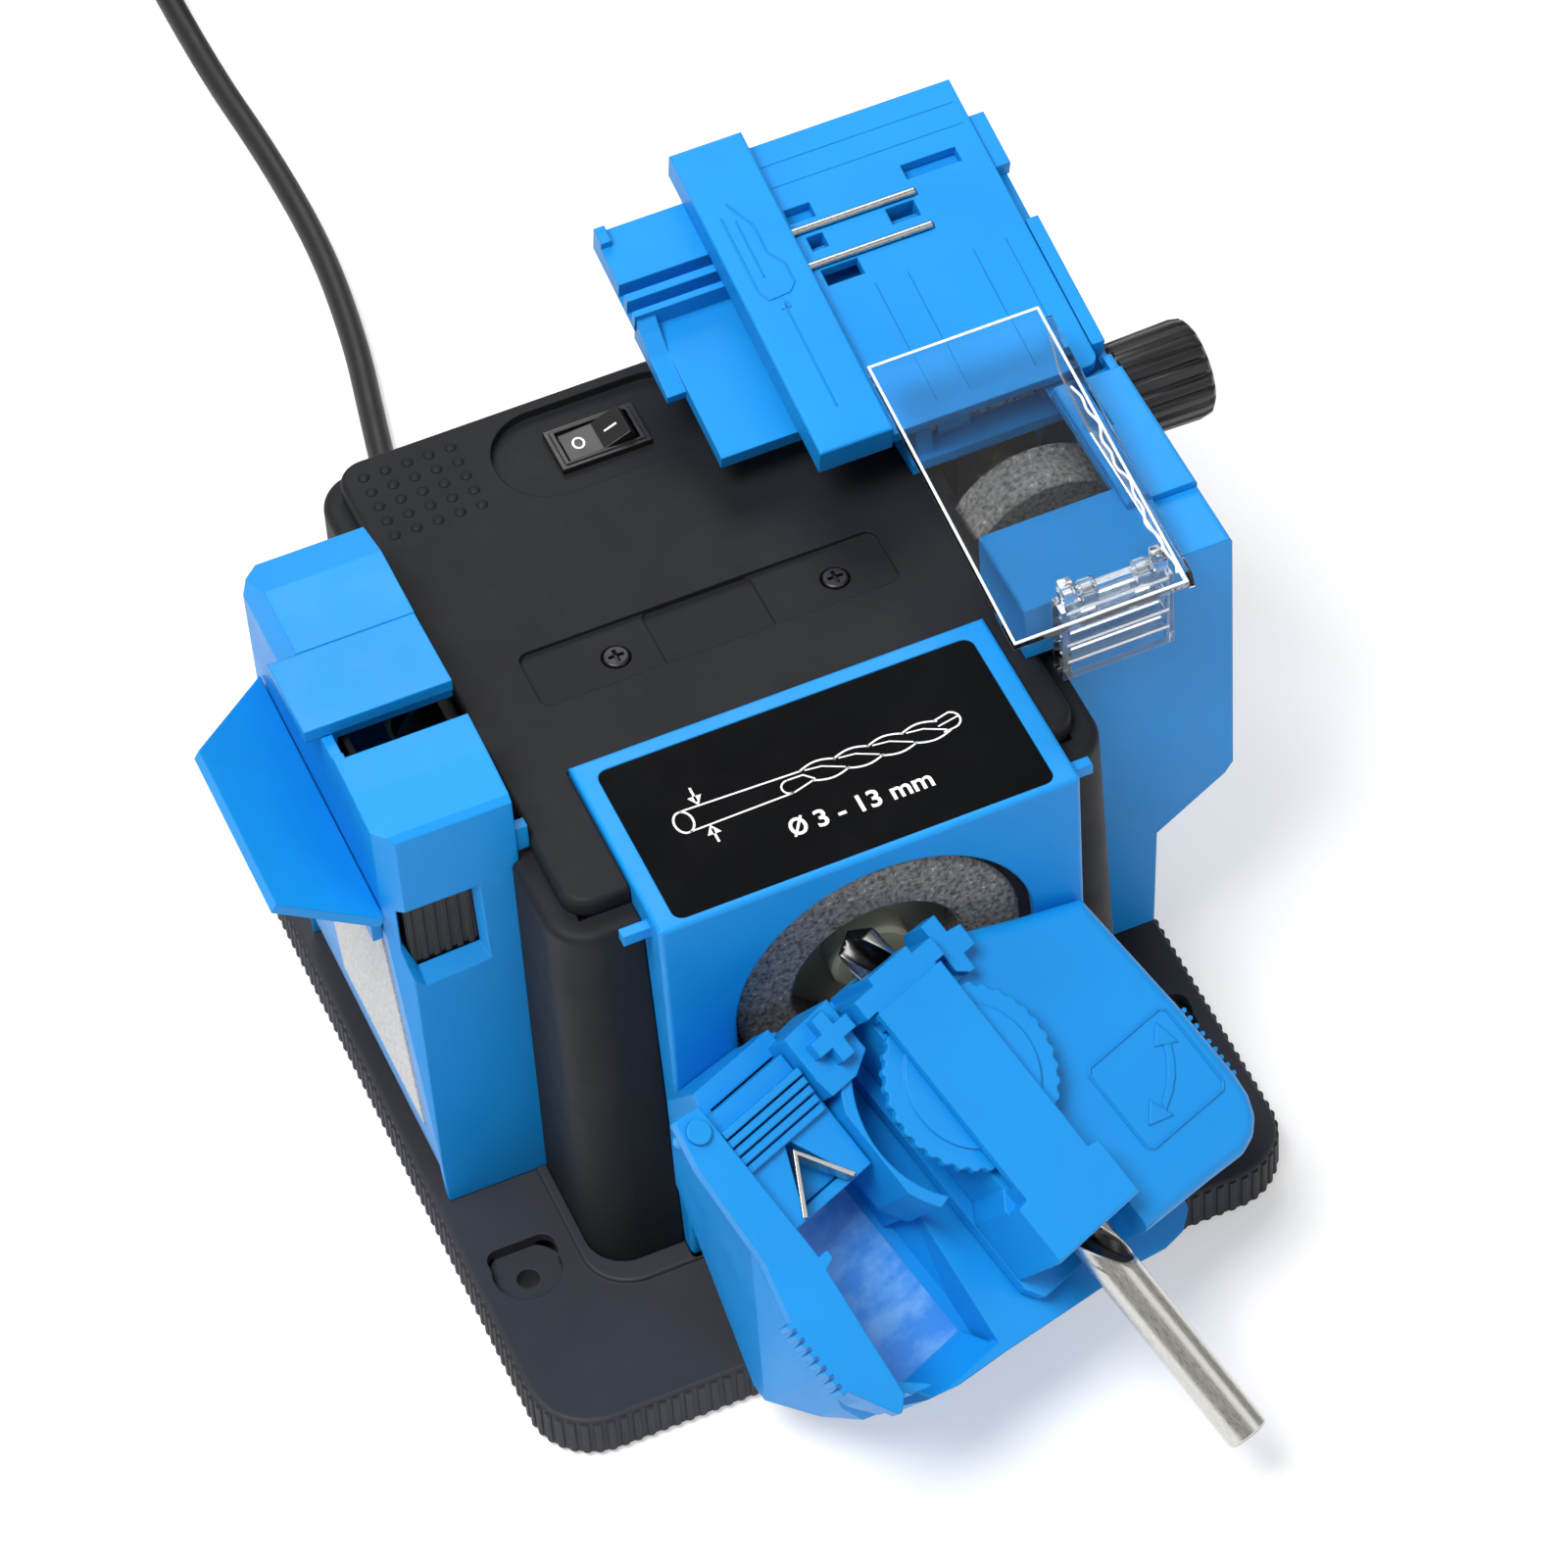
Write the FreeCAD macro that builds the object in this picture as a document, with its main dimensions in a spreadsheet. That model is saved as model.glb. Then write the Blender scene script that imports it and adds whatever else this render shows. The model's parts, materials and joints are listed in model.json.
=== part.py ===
import FreeCAD, Part
import math
import os
import re

import Sketcher
from FreeCAD import Placement, Rotation, Vector

# Drill bit sharpener: a bench machine with one motor and three stations.
# Origin at the centre of the base's underside, +Z up, +X right, -Y towards the user.
# The drill station is in front, the knife station on the left, the chisel station on the right.

os.makedirs("parts", exist_ok=True)
doc = FreeCAD.newDocument("Sharpener")

# ---------------------------------------------------------------- driving dimensions (mm, degrees)

DIMENSIONS = {
    "base_width": 182, "base_depth": 196, "base_corner": 15, "base_bottom": 1.5, "base_top": 13,
    "base_wall": 3, "hole_x": 78.8, "hole_y": 52.5, "hole_back_y": 84, "hole_radius": 2.6,
    "foot_radius": 8, "foot_x": 75, "foot_y": 82, "foot_back_x": 56,
    "body_x": 2, "body_width": 132, "body_front": 61, "body_back": 95, "body_draft": 1,
    "body_top": 122, "body_corner": 10, "body_wall": 3,
    "plate_width": 120, "plate_front": 49, "plate_back": 92, "plate_bottom": 122.2, "plate_top": 127,
    "spindle_x": 6.8, "spindle_z": 84.8, "wheel_radius": 34.3, "wheel_hole": 20.3, "wheel_face": 61.5,
    "wheel_thick": 10, "hub_radius": 24, "shaft_radius": 4, "motor_radius": 27, "motor_front": 42,
    "motor_back": 38, "pulley_radius": 9, "driven_radius": 11, "belt_width": 5, "belt_thick": 1.6,
    "belt_gap": 0.35, "fit_gap": 0.05,
    "left_x": -52, "left_z": 88, "left_wheel_radius": 27, "left_wheel_y": -5,
    "right_x": 84, "right_z": 108, "right_wheel_radius": 21, "right_wheel_y": 14,
    "side_wheel_thick": 12, "side_hub_radius": 9,
    "front_left": -43.7, "front_right": 54.7, "front_face": 65, "front_back": 14, "front_top": 129,
    "opening_radius": 35.6, "opening_x": 7.2, "opening_z": 87.6, "shell_wall": 2.5,
    "label_left": -39, "label_right": 49.6, "label_front": 63.2, "label_back": 18.2, "label_thick": 0.8,
    "station_left": -46, "yaw": 23, "pitch": 35, "tip_x": -1.3, "tip_y": -61, "tip_z": 105.6,
    "holder_x": -3, "holder_half": 12.6, "bit_radius": 5, "bit_length": 140, "bit_bore": 6.5,
    "dial_radius": 21, "dial_disc": 16, "dial_along": 43,
    "pivot_along": 20, "ledge": -14,
    "knife_left": -92, "knife_right": -61.2, "knife_front": -27.5, "knife_back": 61, "knife_top": 143,
    "slot_front": -3, "slot_back": 7, "guide_back": 28,
    "chisel_right": 108.5, "chisel_left": 58.6, "chisel_front": -28, "chisel_back": 62,
    "chisel_top": 142.4, "chisel_bottom": 20, "well_front": -4, "well_back": 32, "well_right": 91,
    "rest_y": 30, "rest_z": 145, "rest_tilt": 12,
    "plate_left": 53.4, "plate_right": 103.8, "plate_run": 82,
    "knob_x": 110.4, "knob_y": 37, "knob_z": 124.5, "knob_radius": 12, "knob_length": 20.5,
    "shield_left": 50.5, "shield_right": 92, "shield_y": -41, "shield_z": 149.5, "shield_run": 78,
    "shield_tilt": 10, "shield_thick": 2,
    "cord_radius": 3.3, "cord_x": -35, "cord_z": 30,
}

sheet = doc.addObject("Spreadsheet::Sheet", "Dims")
for row, (alias, value) in enumerate(DIMENSIONS.items(), start=1):
    sheet.set(f"A{row}", alias)
    sheet.set(f"B{row}", str(value))
    sheet.setAlias(f"B{row}", alias)
doc.recompute()
D = {alias: float(getattr(sheet, alias)) for alias in DIMENSIONS}

NODES = []


# ---------------------------------------------------------------- helpers

def formula(text):
    """An expression on the sheet: every alias in the text gets the sheet's name in front."""
    return re.sub(r"[a-z_]+", lambda m: "Dims." + m.group() if m.group() in DIMENSIONS else m.group(), str(text))


def node(obj, label):
    """Make an object a sub-part of its own."""
    obj.Label = label
    NODES.append(obj)
    return obj


def place(obj, corner):
    """Bind an object's position to the sheet."""
    for axis, text in zip("xyz", corner):
        obj.setExpression("Placement.Base." + axis, formula(text))


def box(name, size, corner):
    """A Part box whose three sizes and corner are formulas."""
    obj = doc.addObject("Part::Box", name)
    for prop, text in zip(("Length", "Width", "Height"), size):
        obj.setExpression(prop, formula(text))
    place(obj, corner)
    return obj


def cylinder(name, radius, height, corner, turn=None):
    """A Part cylinder; turn is a rotation that aims its axis."""
    obj = doc.addObject("Part::Cylinder", name)
    obj.setExpression("Radius", formula(radius))
    obj.setExpression("Height", formula(height))
    if turn:
        obj.Placement = Placement(Vector(), turn)
    place(obj, corner)
    return obj


def cut(name, base, tools):
    """Base minus tools."""
    joined = tools[0]
    if len(tools) > 1:
        joined = doc.addObject("Part::MultiFuse", name + "_tools")
        joined.Shapes = tools
    obj = doc.addObject("Part::Cut", name)
    obj.Base = base
    obj.Tool = joined
    return obj


def fuse(name, shapes):
    """Several primitives as one solid."""
    obj = doc.addObject("Part::MultiFuse", name)
    obj.Shapes = shapes
    return obj


def group(name, shapes):
    """Identical fasteners in one node, as separate solids."""
    obj = doc.addObject("Part::Compound", name)
    obj.Links = shapes
    return obj


def feature(label, shape, placement=None):
    """A sub-part whose shape neither a sketch nor primitives fit."""
    obj = doc.addObject("Part::Feature", label)
    obj.Shape = shape
    if placement:
        obj.Placement = placement
    return node(obj, label)


def sketch_on_base(body, corners):
    """A closed outline on the body's XY plane, every corner held by two formulas."""
    plane = [f for f in body.Origin.OriginFeatures if f.Role == "XY_Plane"][0]
    sketch = body.newObject("Sketcher::SketchObject", body.Name + "_sketch")
    sketch.AttachmentSupport = [(plane, "")]
    sketch.MapMode = "FlatFace"
    values = [(evaluate(x), evaluate(y)) for x, y in corners]
    count = len(corners)
    for i, (x, y) in enumerate(values):
        nx, ny = values[(i + 1) % count]
        sketch.addGeometry(Part.LineSegment(Vector(x, y, 0), Vector(nx, ny, 0)), False)
    for i in range(count):
        sketch.addConstraint(Sketcher.Constraint("Coincident", i, 2, (i + 1) % count, 1))
    for i, (x, y) in enumerate(corners):
        for kind, text, value in (("DistanceX", x, values[i][0]), ("DistanceY", y, values[i][1])):
            index = sketch.addConstraint(Sketcher.Constraint(kind, -1, 1, i, 1, value))
            if re.search("[a-z]", str(text)):
                sketch.setExpression(f"Constraints[{index}]", formula(text))
    return sketch


def evaluate(text):
    """The value of a formula as a number."""
    return float(bound_text(str(text)))


def bound_text(text):
    """Reads a formula through the sheet's own expression engine."""
    holder = doc.getObject("Scratch") or doc.addObject("App::FeaturePython", "Scratch")
    if not hasattr(holder, "Value"):
        holder.addProperty("App::PropertyFloat", "Value")
    return holder.evalExpression(formula(text))


def turned(label, corners, placement, corner=None):
    """A round piece: an outline of (radius, position along the axis) turned about the body's Y axis."""
    body = doc.addObject("PartDesign::Body", label)
    sketch = sketch_on_base(body, corners)
    turn = body.newObject("PartDesign::Revolution", label + "_turn")
    turn.Profile = sketch
    turn.ReferenceAxis = (sketch, ["V_Axis"])
    turn.Angle = 360
    body.Placement = placement
    if corner:
        place(body, corner)
    return node(body, label)


def block(x0, x1, y0, y1, z0, z1):
    """A plain box between limits, for shapes built in code."""
    return Part.makeBox(x1 - x0, y1 - y0, z1 - z0, Vector(x0, y0, z0))


def round_edges(shape, radius, direction, keep=lambda edge: True):
    """Fillet the straight edges that run along a direction."""
    edges = []
    for edge in shape.Edges:
        if len(edge.Vertexes) < 2:
            continue
        run = edge.Vertexes[1].Point - edge.Vertexes[0].Point
        if run.Length > 1e-6 and run.normalize().cross(direction).Length < 1e-3 and keep(edge):
            edges.append(edge)
    return shape.makeFillet(radius, edges) if edges else shape


def slab(x0, x1, y0, y1, z0, z1, radius):
    """A box with rounded upright corners."""
    return round_edges(block(x0, x1, y0, y1, z0, z1), radius, Vector(0, 0, 1))


def prism(corners, along, start, length):
    """A polygon extruded along an axis; its corners are the two other coordinates, in x, y, z order."""
    lift = {
        "x": lambda a, b: Vector(start, a, b),
        "y": lambda a, b: Vector(a, start, b),
        "z": lambda a, b: Vector(a, b, start),
    }[along]
    points = [lift(a, b) for a, b in corners]
    face = Part.Face(Part.makePolygon(points + points[:1]))
    step = {"x": Vector(length, 0, 0), "y": Vector(0, length, 0), "z": Vector(0, 0, length)}[along]
    return face.extrude(step)


def rod(radius, start, end):
    """A solid cylinder between two points."""
    axis = end - start
    return Part.makeCylinder(radius, axis.Length, start, axis)


ALONG_X = Rotation(Vector(0, 0, 1), -90)
UP = Vector(0, 0, 1)

# ---------------------------------------------------------------- base

half_w = D["base_width"] / 2
half_d = D["base_depth"] / 2
bx = D["body_x"]
bw = D["body_width"] / 2


def base_outline(grow, z0, z1):
    """The base's rounded outline, grown or shrunk, between two heights."""
    return slab(-half_w - grow, half_w + grow, -half_d - grow, half_d + grow, z0, z1, D["base_corner"] + grow)


base = base_outline(0, D["base_bottom"], D["base_top"])
top_edges = [e for e in base.Edges if e.BoundBox.ZMin > D["base_top"] - 0.01]
base = base.makeFillet(1.2, top_edges)
base = base.cut(base_outline(-D["base_wall"], 0, D["base_top"] - 2.5))
mount_points = [(x, y) for x in (-D["hole_x"], D["hole_x"]) for y in (-D["hole_y"], D["hole_back_y"])]
for x, y in mount_points:
    base = base.fuse(Part.makeCylinder(9.5, 9, Vector(x, y, D["base_bottom"])))
lip_outer = slab(bx - bw - 2.6, bx + bw + 2.6, -D["body_front"] - 5.8, D["body_back"] + 2.4, 12, 14, 11.5)
lip_outer = lip_outer.makeFillet(0.8, [e for e in lip_outer.Edges if e.BoundBox.ZMin > 13.9])
base = base.fuse(lip_outer)
base = base.cut(slab(bx - bw - 0.2, bx + bw + 0.2, -D["body_front"] - 0.2, D["body_back"] + 0.2, 9, 20, 9.5))
for x, y in mount_points:
    sink = Part.makeCylinder(8, 12, Vector(x, y, 9.5)).fuse(slab(x - 7.5, x + 8.5, y, y + 8, 9.5, 21, 3))
    base = base.cut(sink)
    base = base.cut(Part.makeCylinder(D["hole_radius"], 20, Vector(x, y, 0)))
base = base.cut(slab(D["front_left"] - 0.3, D["front_right"] + 0.3, -66.4, 0, 9, 20, 1))
base = base.cut(block(D["knife_left"] - 0.3, -50, D["knife_front"] - 0.3, D["knife_back"] + 0.3, 13.0, 20))
base = base.cut(block(60, 100, D["chisel_front"] - 0.3, D["chisel_back"] + 0.3, 13.0, 20))
feature("base_plate", base.removeSplitter())

cover_edge = D["base_wall"] + 0.5
cover = slab(-half_w + cover_edge, half_w - cover_edge, -half_d + cover_edge, half_d - cover_edge,
             D["base_bottom"] + 0.3, D["base_bottom"] + 1.9, 11.5)
for x, y in mount_points:
    cover = cover.cut(Part.makeCylinder(10.2, 6, Vector(x, y, 0)))
for x in (-40, -30, -20, 17, 27, 37):
    cover = cover.cut(block(x, x + 3, -25, 25, 0, 6))
feature("bottom_cover", cover)

# Four corner feet and a middle one under the motor, stuck to the cover.
foot_places = [(-D["foot_x"], -D["foot_y"]), (D["foot_x"], -D["foot_y"]), (-D["foot_back_x"], D["foot_y"]),
               (D["foot_back_x"], D["foot_y"]), (0, 0)]
feet = [cylinder(f"foot_{i}", "foot_radius", "base_bottom + 0.3", (x, y, 0)) for i, (x, y) in enumerate(foot_places)]
node(group("feet_group", feet), "rubber_feet")

screw_places = [(x, y) for x in (-45, 49) for y in (-40, 74)]
screws = []
for i, (x, y) in enumerate(screw_places):
    head = cylinder(f"base_screw_head_{i}", 3.2, 1.8, (x, y, "base_bottom + 2"))
    shank = cylinder(f"base_screw_shank_{i}", 1.4, 5, (x, y, "base_bottom + 3.7"))
    screws.append(fuse(f"base_screw_{i}", [head, shank]))
node(group("base_screw_group", screws), "base_screws")

# ---------------------------------------------------------------- housing


def drafted(grow, z0, z1, taper):
    """The housing's rounded outline at two heights, lofted: its walls lean in by the draft."""
    wires = []
    for z, shrink in ((z0, 0), (z1, taper)):
        face = slab(bx - bw - grow + shrink, bx + bw + grow - shrink, -D["body_front"] - grow + 6 * shrink,
                    D["body_back"] + grow - shrink, z, z + 1, D["body_corner"] + grow)
        wires.append([f for f in face.Faces if f.BoundBox.ZMax < z + 0.01][0].OuterWire)
    return Part.makeLoft(wires, True)


housing = drafted(0, D["base_top"] + 0.0, D["body_top"], D["body_draft"])
rim = [e for e in housing.Edges if e.BoundBox.ZMin > D["body_top"] - 0.01]
housing = housing.makeFillet(2.2, rim)
housing = housing.cut(drafted(-D["body_wall"], 9, D["body_top"] - D["body_wall"], D["body_draft"]))
housing = housing.cut(block(D["front_left"] - 0.3, D["front_right"] + 0.3, -80, -40, 0, 130))
housing = housing.cut(block(-80, -50, D["knife_front"] + 2.7, D["knife_back"] - 2.7, 16, 117))
housing = housing.cut(block(-80, D["knife_right"] + 0.3, D["knife_front"] - 0.3, D["knife_back"] + 0.3, 0, 130))
housing = housing.cut(block(64.5, 80, 12.5, 27.5, 110, 130))
housing = housing.cut(block(55, 80, D["chisel_front"] + 2.7, D["chisel_back"] - 2.7, 22.7, 118.5))
housing = housing.cut(block(bx - bw + 8, bx + bw - 8, -D["front_back"] - 35, D["plate_back"] - 6,
                            D["body_top"] - 5, 130))
housing = housing.cut(block(D["front_left"] - 0.3, D["front_right"] + 0.3, -66, -D["front_back"] + 0.3, 110, 130))
housing = housing.cut(rod(5.2, Vector(D["cord_x"], 80, D["cord_z"]), Vector(D["cord_x"], 110, D["cord_z"])))
for column in (-12, 1, 14, 27, 40):
    housing = housing.cut(slab(column, column + 6, 80, 110, 30, 70, 1))
feature("motor_housing", housing)

plate = slab(bx - D["plate_width"] / 2, bx + D["plate_width"] / 2, -D["plate_front"], D["plate_back"],
             D["plate_bottom"], D["plate_top"], 6.5)
plate = plate.makeFillet(1.6, [e for e in plate.Edges if e.BoundBox.ZMin > D["plate_top"] - 0.01])
plate = plate.cut(slab(bx - D["plate_width"] / 2 + 3, bx + D["plate_width"] / 2 - 3, -D["plate_front"] + 3,
                       D["plate_back"] - 3, D["plate_bottom"] - 1, D["plate_top"] - 3, 4))
plate = plate.cut(block(D["front_left"] - 0.3, D["front_right"] + 0.3, -80, -D["front_back"] + 0.3, 100, 140))
plate = plate.cut(slab(-41.5, 44, 5.5, 22, D["plate_top"] - 1.1, 140, 2.5))
plate = plate.cut(slab(-12, 14, 5.5, 22, D["plate_top"] - 1.7, 140, 1.5))
for x in (-21.4, 31.1):
    plate = plate.cut(Part.makeCylinder(3.4, 8, Vector(x, 13, D["plate_top"] - 2.6)))
    plate = plate.fuse(Part.makeCylinder(4.5, 2.2, Vector(x, 13, D["plate_top"] - 4.8)))
    plate = plate.cut(Part.makeCylinder(1.7, 20, Vector(x, 13, D["plate_top"] - 10)))
switch_bed = slab(-25, 27, 61.5, 88.5, D["plate_top"] - 2.4, 140, 13)
plate = plate.fuse(slab(-26.5, 28.5, 60, 88.5, D["plate_top"] - 4.8, D["plate_top"] - 1.2, 12))
plate = plate.cut(switch_bed)
plate = plate.cut(block(-10.1, 9.8, 69.8, 80.9, 100, 140))
plate = plate.cut(block(D["knife_left"], D["knife_right"] + 0.3, D["knife_front"] - 0.3, D["knife_back"] + 0.3,
                        100, 140))
feature("top_plate", plate.removeSplitter())

screws = []
for x in (-21.4, 31.1):
    screw = Part.makeCylinder(3.1, 1.9, Vector(x, 13, D["plate_top"] - 2.5))
    screw = screw.makeFillet(0.7, [e for e in screw.Edges if e.BoundBox.ZMin > D["plate_top"] - 0.7])
    for turn in (0, 90):
        cross = Part.makeBox(3.6, 0.8, 2, Vector(-1.8, -0.4, 0))
        cross.Placement = Placement(Vector(x, 13, D["plate_top"] - 1.6), Rotation(UP, turn))
        screw = screw.cut(cross)
    screw = screw.fuse(Part.makeCylinder(1.5, 9, Vector(x, 13, D["plate_top"] - 11)))
    screws.append(screw)
feature("top_screws", Part.makeCompound(screws))

# ---------------------------------------------------------------- rocker switch

switch_outer = box("switch_outer", (19.5, 10.7, 13), (-9.9, 70, "plate_top - 13.4"))
switch_flange = box("switch_flange", (21.7, 12.7, 1.6), (-11, 69, "plate_top - 2.35"))
switch_well = box("switch_well", (17.4, 9.4, 20), (-8.85, 70.65, "plate_top - 9"))
node(cut("switch_cut", fuse("switch_blank", [switch_outer, switch_flange]), [switch_well]), "switch_body")

# The rocker's upper face is a shallow V; its left half (off) lies low and level with the bezel.
rocker_x, rocker_z = -0.15, D["plate_top"] - 3.2
rocker_side = [(-8.2, 2.0), (0, 2.4), (6.6, 5.2), (7.8, 3.2), (8.4, 0.6), (4, -3.4), (-4, -3.4), (-8.4, -1.0)]
rocker = prism([(rocker_x + x, rocker_z + z) for x, z in rocker_side], "y", 71, 8.7)
rocker = rocker.fuse(rod(1.2, Vector(rocker_x, 70.75, rocker_z), Vector(rocker_x, 79.95, rocker_z)))
feature("switch_rocker", rocker)

# ---------------------------------------------------------------- motor and front wheel

turned("motor_can", [(8, "-motor_front"), ("motor_radius - 3", "-motor_front"), ("motor_radius", "-motor_front + 3"),
                     ("motor_radius", "motor_back - 3"), ("motor_radius - 3", "motor_back"), (8, "motor_back"),
                     (8, "motor_back - 3"), ("motor_radius - 6", "motor_back - 6"),
                     ("motor_radius - 6", "-motor_front + 6"), (8, "-motor_front + 3")],
       Placement(), ("spindle_x", 0, "spindle_z"))
saddle = box("saddle_blank", (44, 56, "spindle_z - base_top - 16"), ("spindle_x - 22", -30, "base_top + 0.2"))
saddle_bore = cylinder("saddle_bore", "motor_radius + 0.2", 120, ("spindle_x", 60, "spindle_z"),
                       Rotation(Vector(1, 0, 0), 90))
saddle_gap = box("saddle_gap", (28, 60, 30), ("spindle_x - 14", -31, "base_top + 5"))
node(cut("saddle_cut", saddle, [saddle_bore, saddle_gap]), "motor_saddle")

turned("motor_shaft", [(0, -62.4), (3, -62.4), (3, -51.5), ("shaft_radius", -51.5), ("shaft_radius", 58.5),
                       (0, 58.5)],
       Placement(), ("spindle_x", 0, "spindle_z"))
bearings = []
for y in (-42, 35):
    outer = cylinder(f"bearing_outer_{y + 42}", 8, 3, ("spindle_x", y + 3, "spindle_z"), Rotation(Vector(1, 0, 0), 90))
    inner = cylinder(f"bearing_inner_{y + 42}", "shaft_radius + fit_gap", 5, ("spindle_x", y + 4, "spindle_z"),
                     Rotation(Vector(1, 0, 0), 90))
    bearings.append(cut(f"bearing_{y + 42}", outer, [inner]))
node(group("bearing_group", bearings), "motor_bearings")

turned("front_wheel", [("wheel_hole", "-wheel_face + 0.8"), ("wheel_hole + 0.8", "-wheel_face"),
                       ("wheel_radius - 0.8", "-wheel_face"), ("wheel_radius", "-wheel_face + 0.8"),
                       ("wheel_radius", "-wheel_face + wheel_thick"), ("wheel_hole", "-wheel_face + wheel_thick")],
       Placement(), ("spindle_x", 0, "spindle_z"))
turned("wheel_hub", [(3, -58.5), (8.5, -58.5), (9.5, -57.5), (9.5, "-wheel_face + wheel_thick"),
                     ("hub_radius", "-wheel_face + wheel_thick"), ("hub_radius", "-wheel_face + wheel_thick + 3"),
                     (7, "-wheel_face + wheel_thick + 3"), (7, -43.5), ("shaft_radius", -43.5),
                     ("shaft_radius", -51.5), (3, -51.5)], Placement(), ("spindle_x", 0, "spindle_z"))
nut = doc.addObject("Part::Prism", "nut_blank")
nut.Polygon = 6
nut.Circumradius = 5.8
nut.Height = 3.6
nut.Placement = Placement(Vector(), Rotation(Vector(1, 0, 0), 90))
place(nut, ("spindle_x", -58.5, "spindle_z"))
nut_bore = cylinder("nut_bore", 3, 8, ("spindle_x", -57, "spindle_z"), Rotation(Vector(1, 0, 0), 90))
node(cut("nut_cut", nut, [nut_bore]), "wheel_nut")

turned("drive_pulley", [("shaft_radius", 40.5), ("pulley_radius + 3", 40.5), ("pulley_radius + 3", 41.5),
                        ("pulley_radius", 41.9), ("pulley_radius", 48.1), ("pulley_radius + 3", 48.5),
                        ("pulley_radius + 3", 49.5), ("pulley_radius", 49.9), ("pulley_radius", 56.1),
                        ("pulley_radius + 3", 56.5), ("pulley_radius + 3", 57.5), ("shaft_radius", 57.5)],
       Placement(), ("spindle_x", 0, "spindle_z"))

# ---------------------------------------------------------------- side spindles, one per side station


def belt_loop(far_x, far_z, y):
    """A flat belt round the drive pulley and a driven pulley."""
    near = Vector(D["spindle_x"], 0, D["spindle_z"])
    far = Vector(far_x, 0, far_z)
    reach = far - near
    gap = D["belt_gap"]
    loops = []
    for grow in (gap, gap + D["belt_thick"]):
        r_near, r_far = D["pulley_radius"] + grow, D["driven_radius"] + grow
        lean = math.acos((r_near - r_far) / reach.Length)
        heading = math.atan2(reach.z, reach.x)

        def at(centre, radius, angle):
            return Vector(centre.x + radius * math.cos(angle), 0, centre.z + radius * math.sin(angle))

        a, b = at(near, r_near, heading + lean), at(near, r_near, heading - lean)
        c, d = at(far, r_far, heading - lean), at(far, r_far, heading + lean)
        wire = Part.Wire([Part.Arc(a, at(near, r_near, heading + math.pi), b).toShape(), Part.makeLine(b, c),
                          Part.Arc(c, at(far, r_far, heading), d).toShape(), Part.makeLine(d, a)])
        loops.append(Part.Face(wire))
    band = loops[1].cut(loops[0]).extrude(Vector(0, D["belt_width"], 0))
    band.translate(Vector(0, y, 0))
    return band


SIDES = {"left": 42.4, "right": 50.4}
bush_parts = []
for side, belt_y in SIDES.items():
    centre = (f"{side}_x", 0, f"{side}_z")
    wheel_y = f"{side}_wheel_y"
    turned(side + "_shaft", [(0, f"{wheel_y} - 6"), ("shaft_radius", f"{wheel_y} - 6"), ("shaft_radius", f"{wheel_y} - 2"),
                             ("side_hub_radius + 3", f"{wheel_y} - 2"), ("side_hub_radius + 3", wheel_y),
                             ("side_hub_radius", wheel_y), ("side_hub_radius", f"{wheel_y} + side_wheel_thick"),
                             ("shaft_radius", f"{wheel_y} + side_wheel_thick"), ("shaft_radius", belt_y + 8),
                             (0, belt_y + 8)], Placement(), centre)
    turned(side + "_wheel", [("side_hub_radius", wheel_y), (f"{side}_wheel_radius - 0.8", wheel_y),
                             (f"{side}_wheel_radius", f"{wheel_y} + 0.8"),
                             (f"{side}_wheel_radius", f"{wheel_y} + side_wheel_thick"),
                             ("side_hub_radius", f"{wheel_y} + side_wheel_thick")], Placement(), centre)
    turned(side + "_pulley", [("shaft_radius", belt_y - 2), ("driven_radius + 3", belt_y - 2),
                              ("driven_radius + 3", belt_y - 1), ("driven_radius", belt_y - 0.6),
                              ("driven_radius", belt_y + 5.6), ("driven_radius + 3", belt_y + 6),
                              ("driven_radius + 3", belt_y + 7), ("shaft_radius", belt_y + 7)], Placement(), centre)
    feature(side + "_belt", belt_loop(D[f"{side}_x"], D[f"{side}_z"], belt_y))

    # A steel bracket carries the two bushes: on the base at the left, on the station's floor at the right.
    first, last = D[wheel_y] + 17, belt_y - 10
    x, z = D[f"{side}_x"], D[f"{side}_z"]
    if side == "left":
        floor, cheek = 13.2, [(x - 8, 13.2), (x + 12, 13.2), (x + 9, z + 9), (x - 9, z + 9)]
    else:
        floor, cheek = 22.7, [(72, 22.7), (84.6, 22.7), (85.8, 54), (x + 9, 68), (x + 9, z + 9), (x - 9, z + 9)]
    bracket = block(cheek[0][0], cheek[1][0], first, last + 5, floor, floor + 3)
    for y in (first, last + 2):
        bracket = bracket.fuse(prism(cheek, "y", y, 3))
        ring = rod(6, Vector(x, y - 1, z), Vector(x, y + 4, z))
        bracket = bracket.cut(rod(6, Vector(x, y - 1, z), Vector(x, y + 4, z)))
        bush_parts.append(ring.cut(rod(D["shaft_radius"] + D["fit_gap"], Vector(x, y - 2, z), Vector(x, y + 5, z))))
    feature(side + "_bracket", bracket)
feature("spindle_bushes", Part.makeCompound(bush_parts))

# ---------------------------------------------------------------- drill station housing

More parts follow.
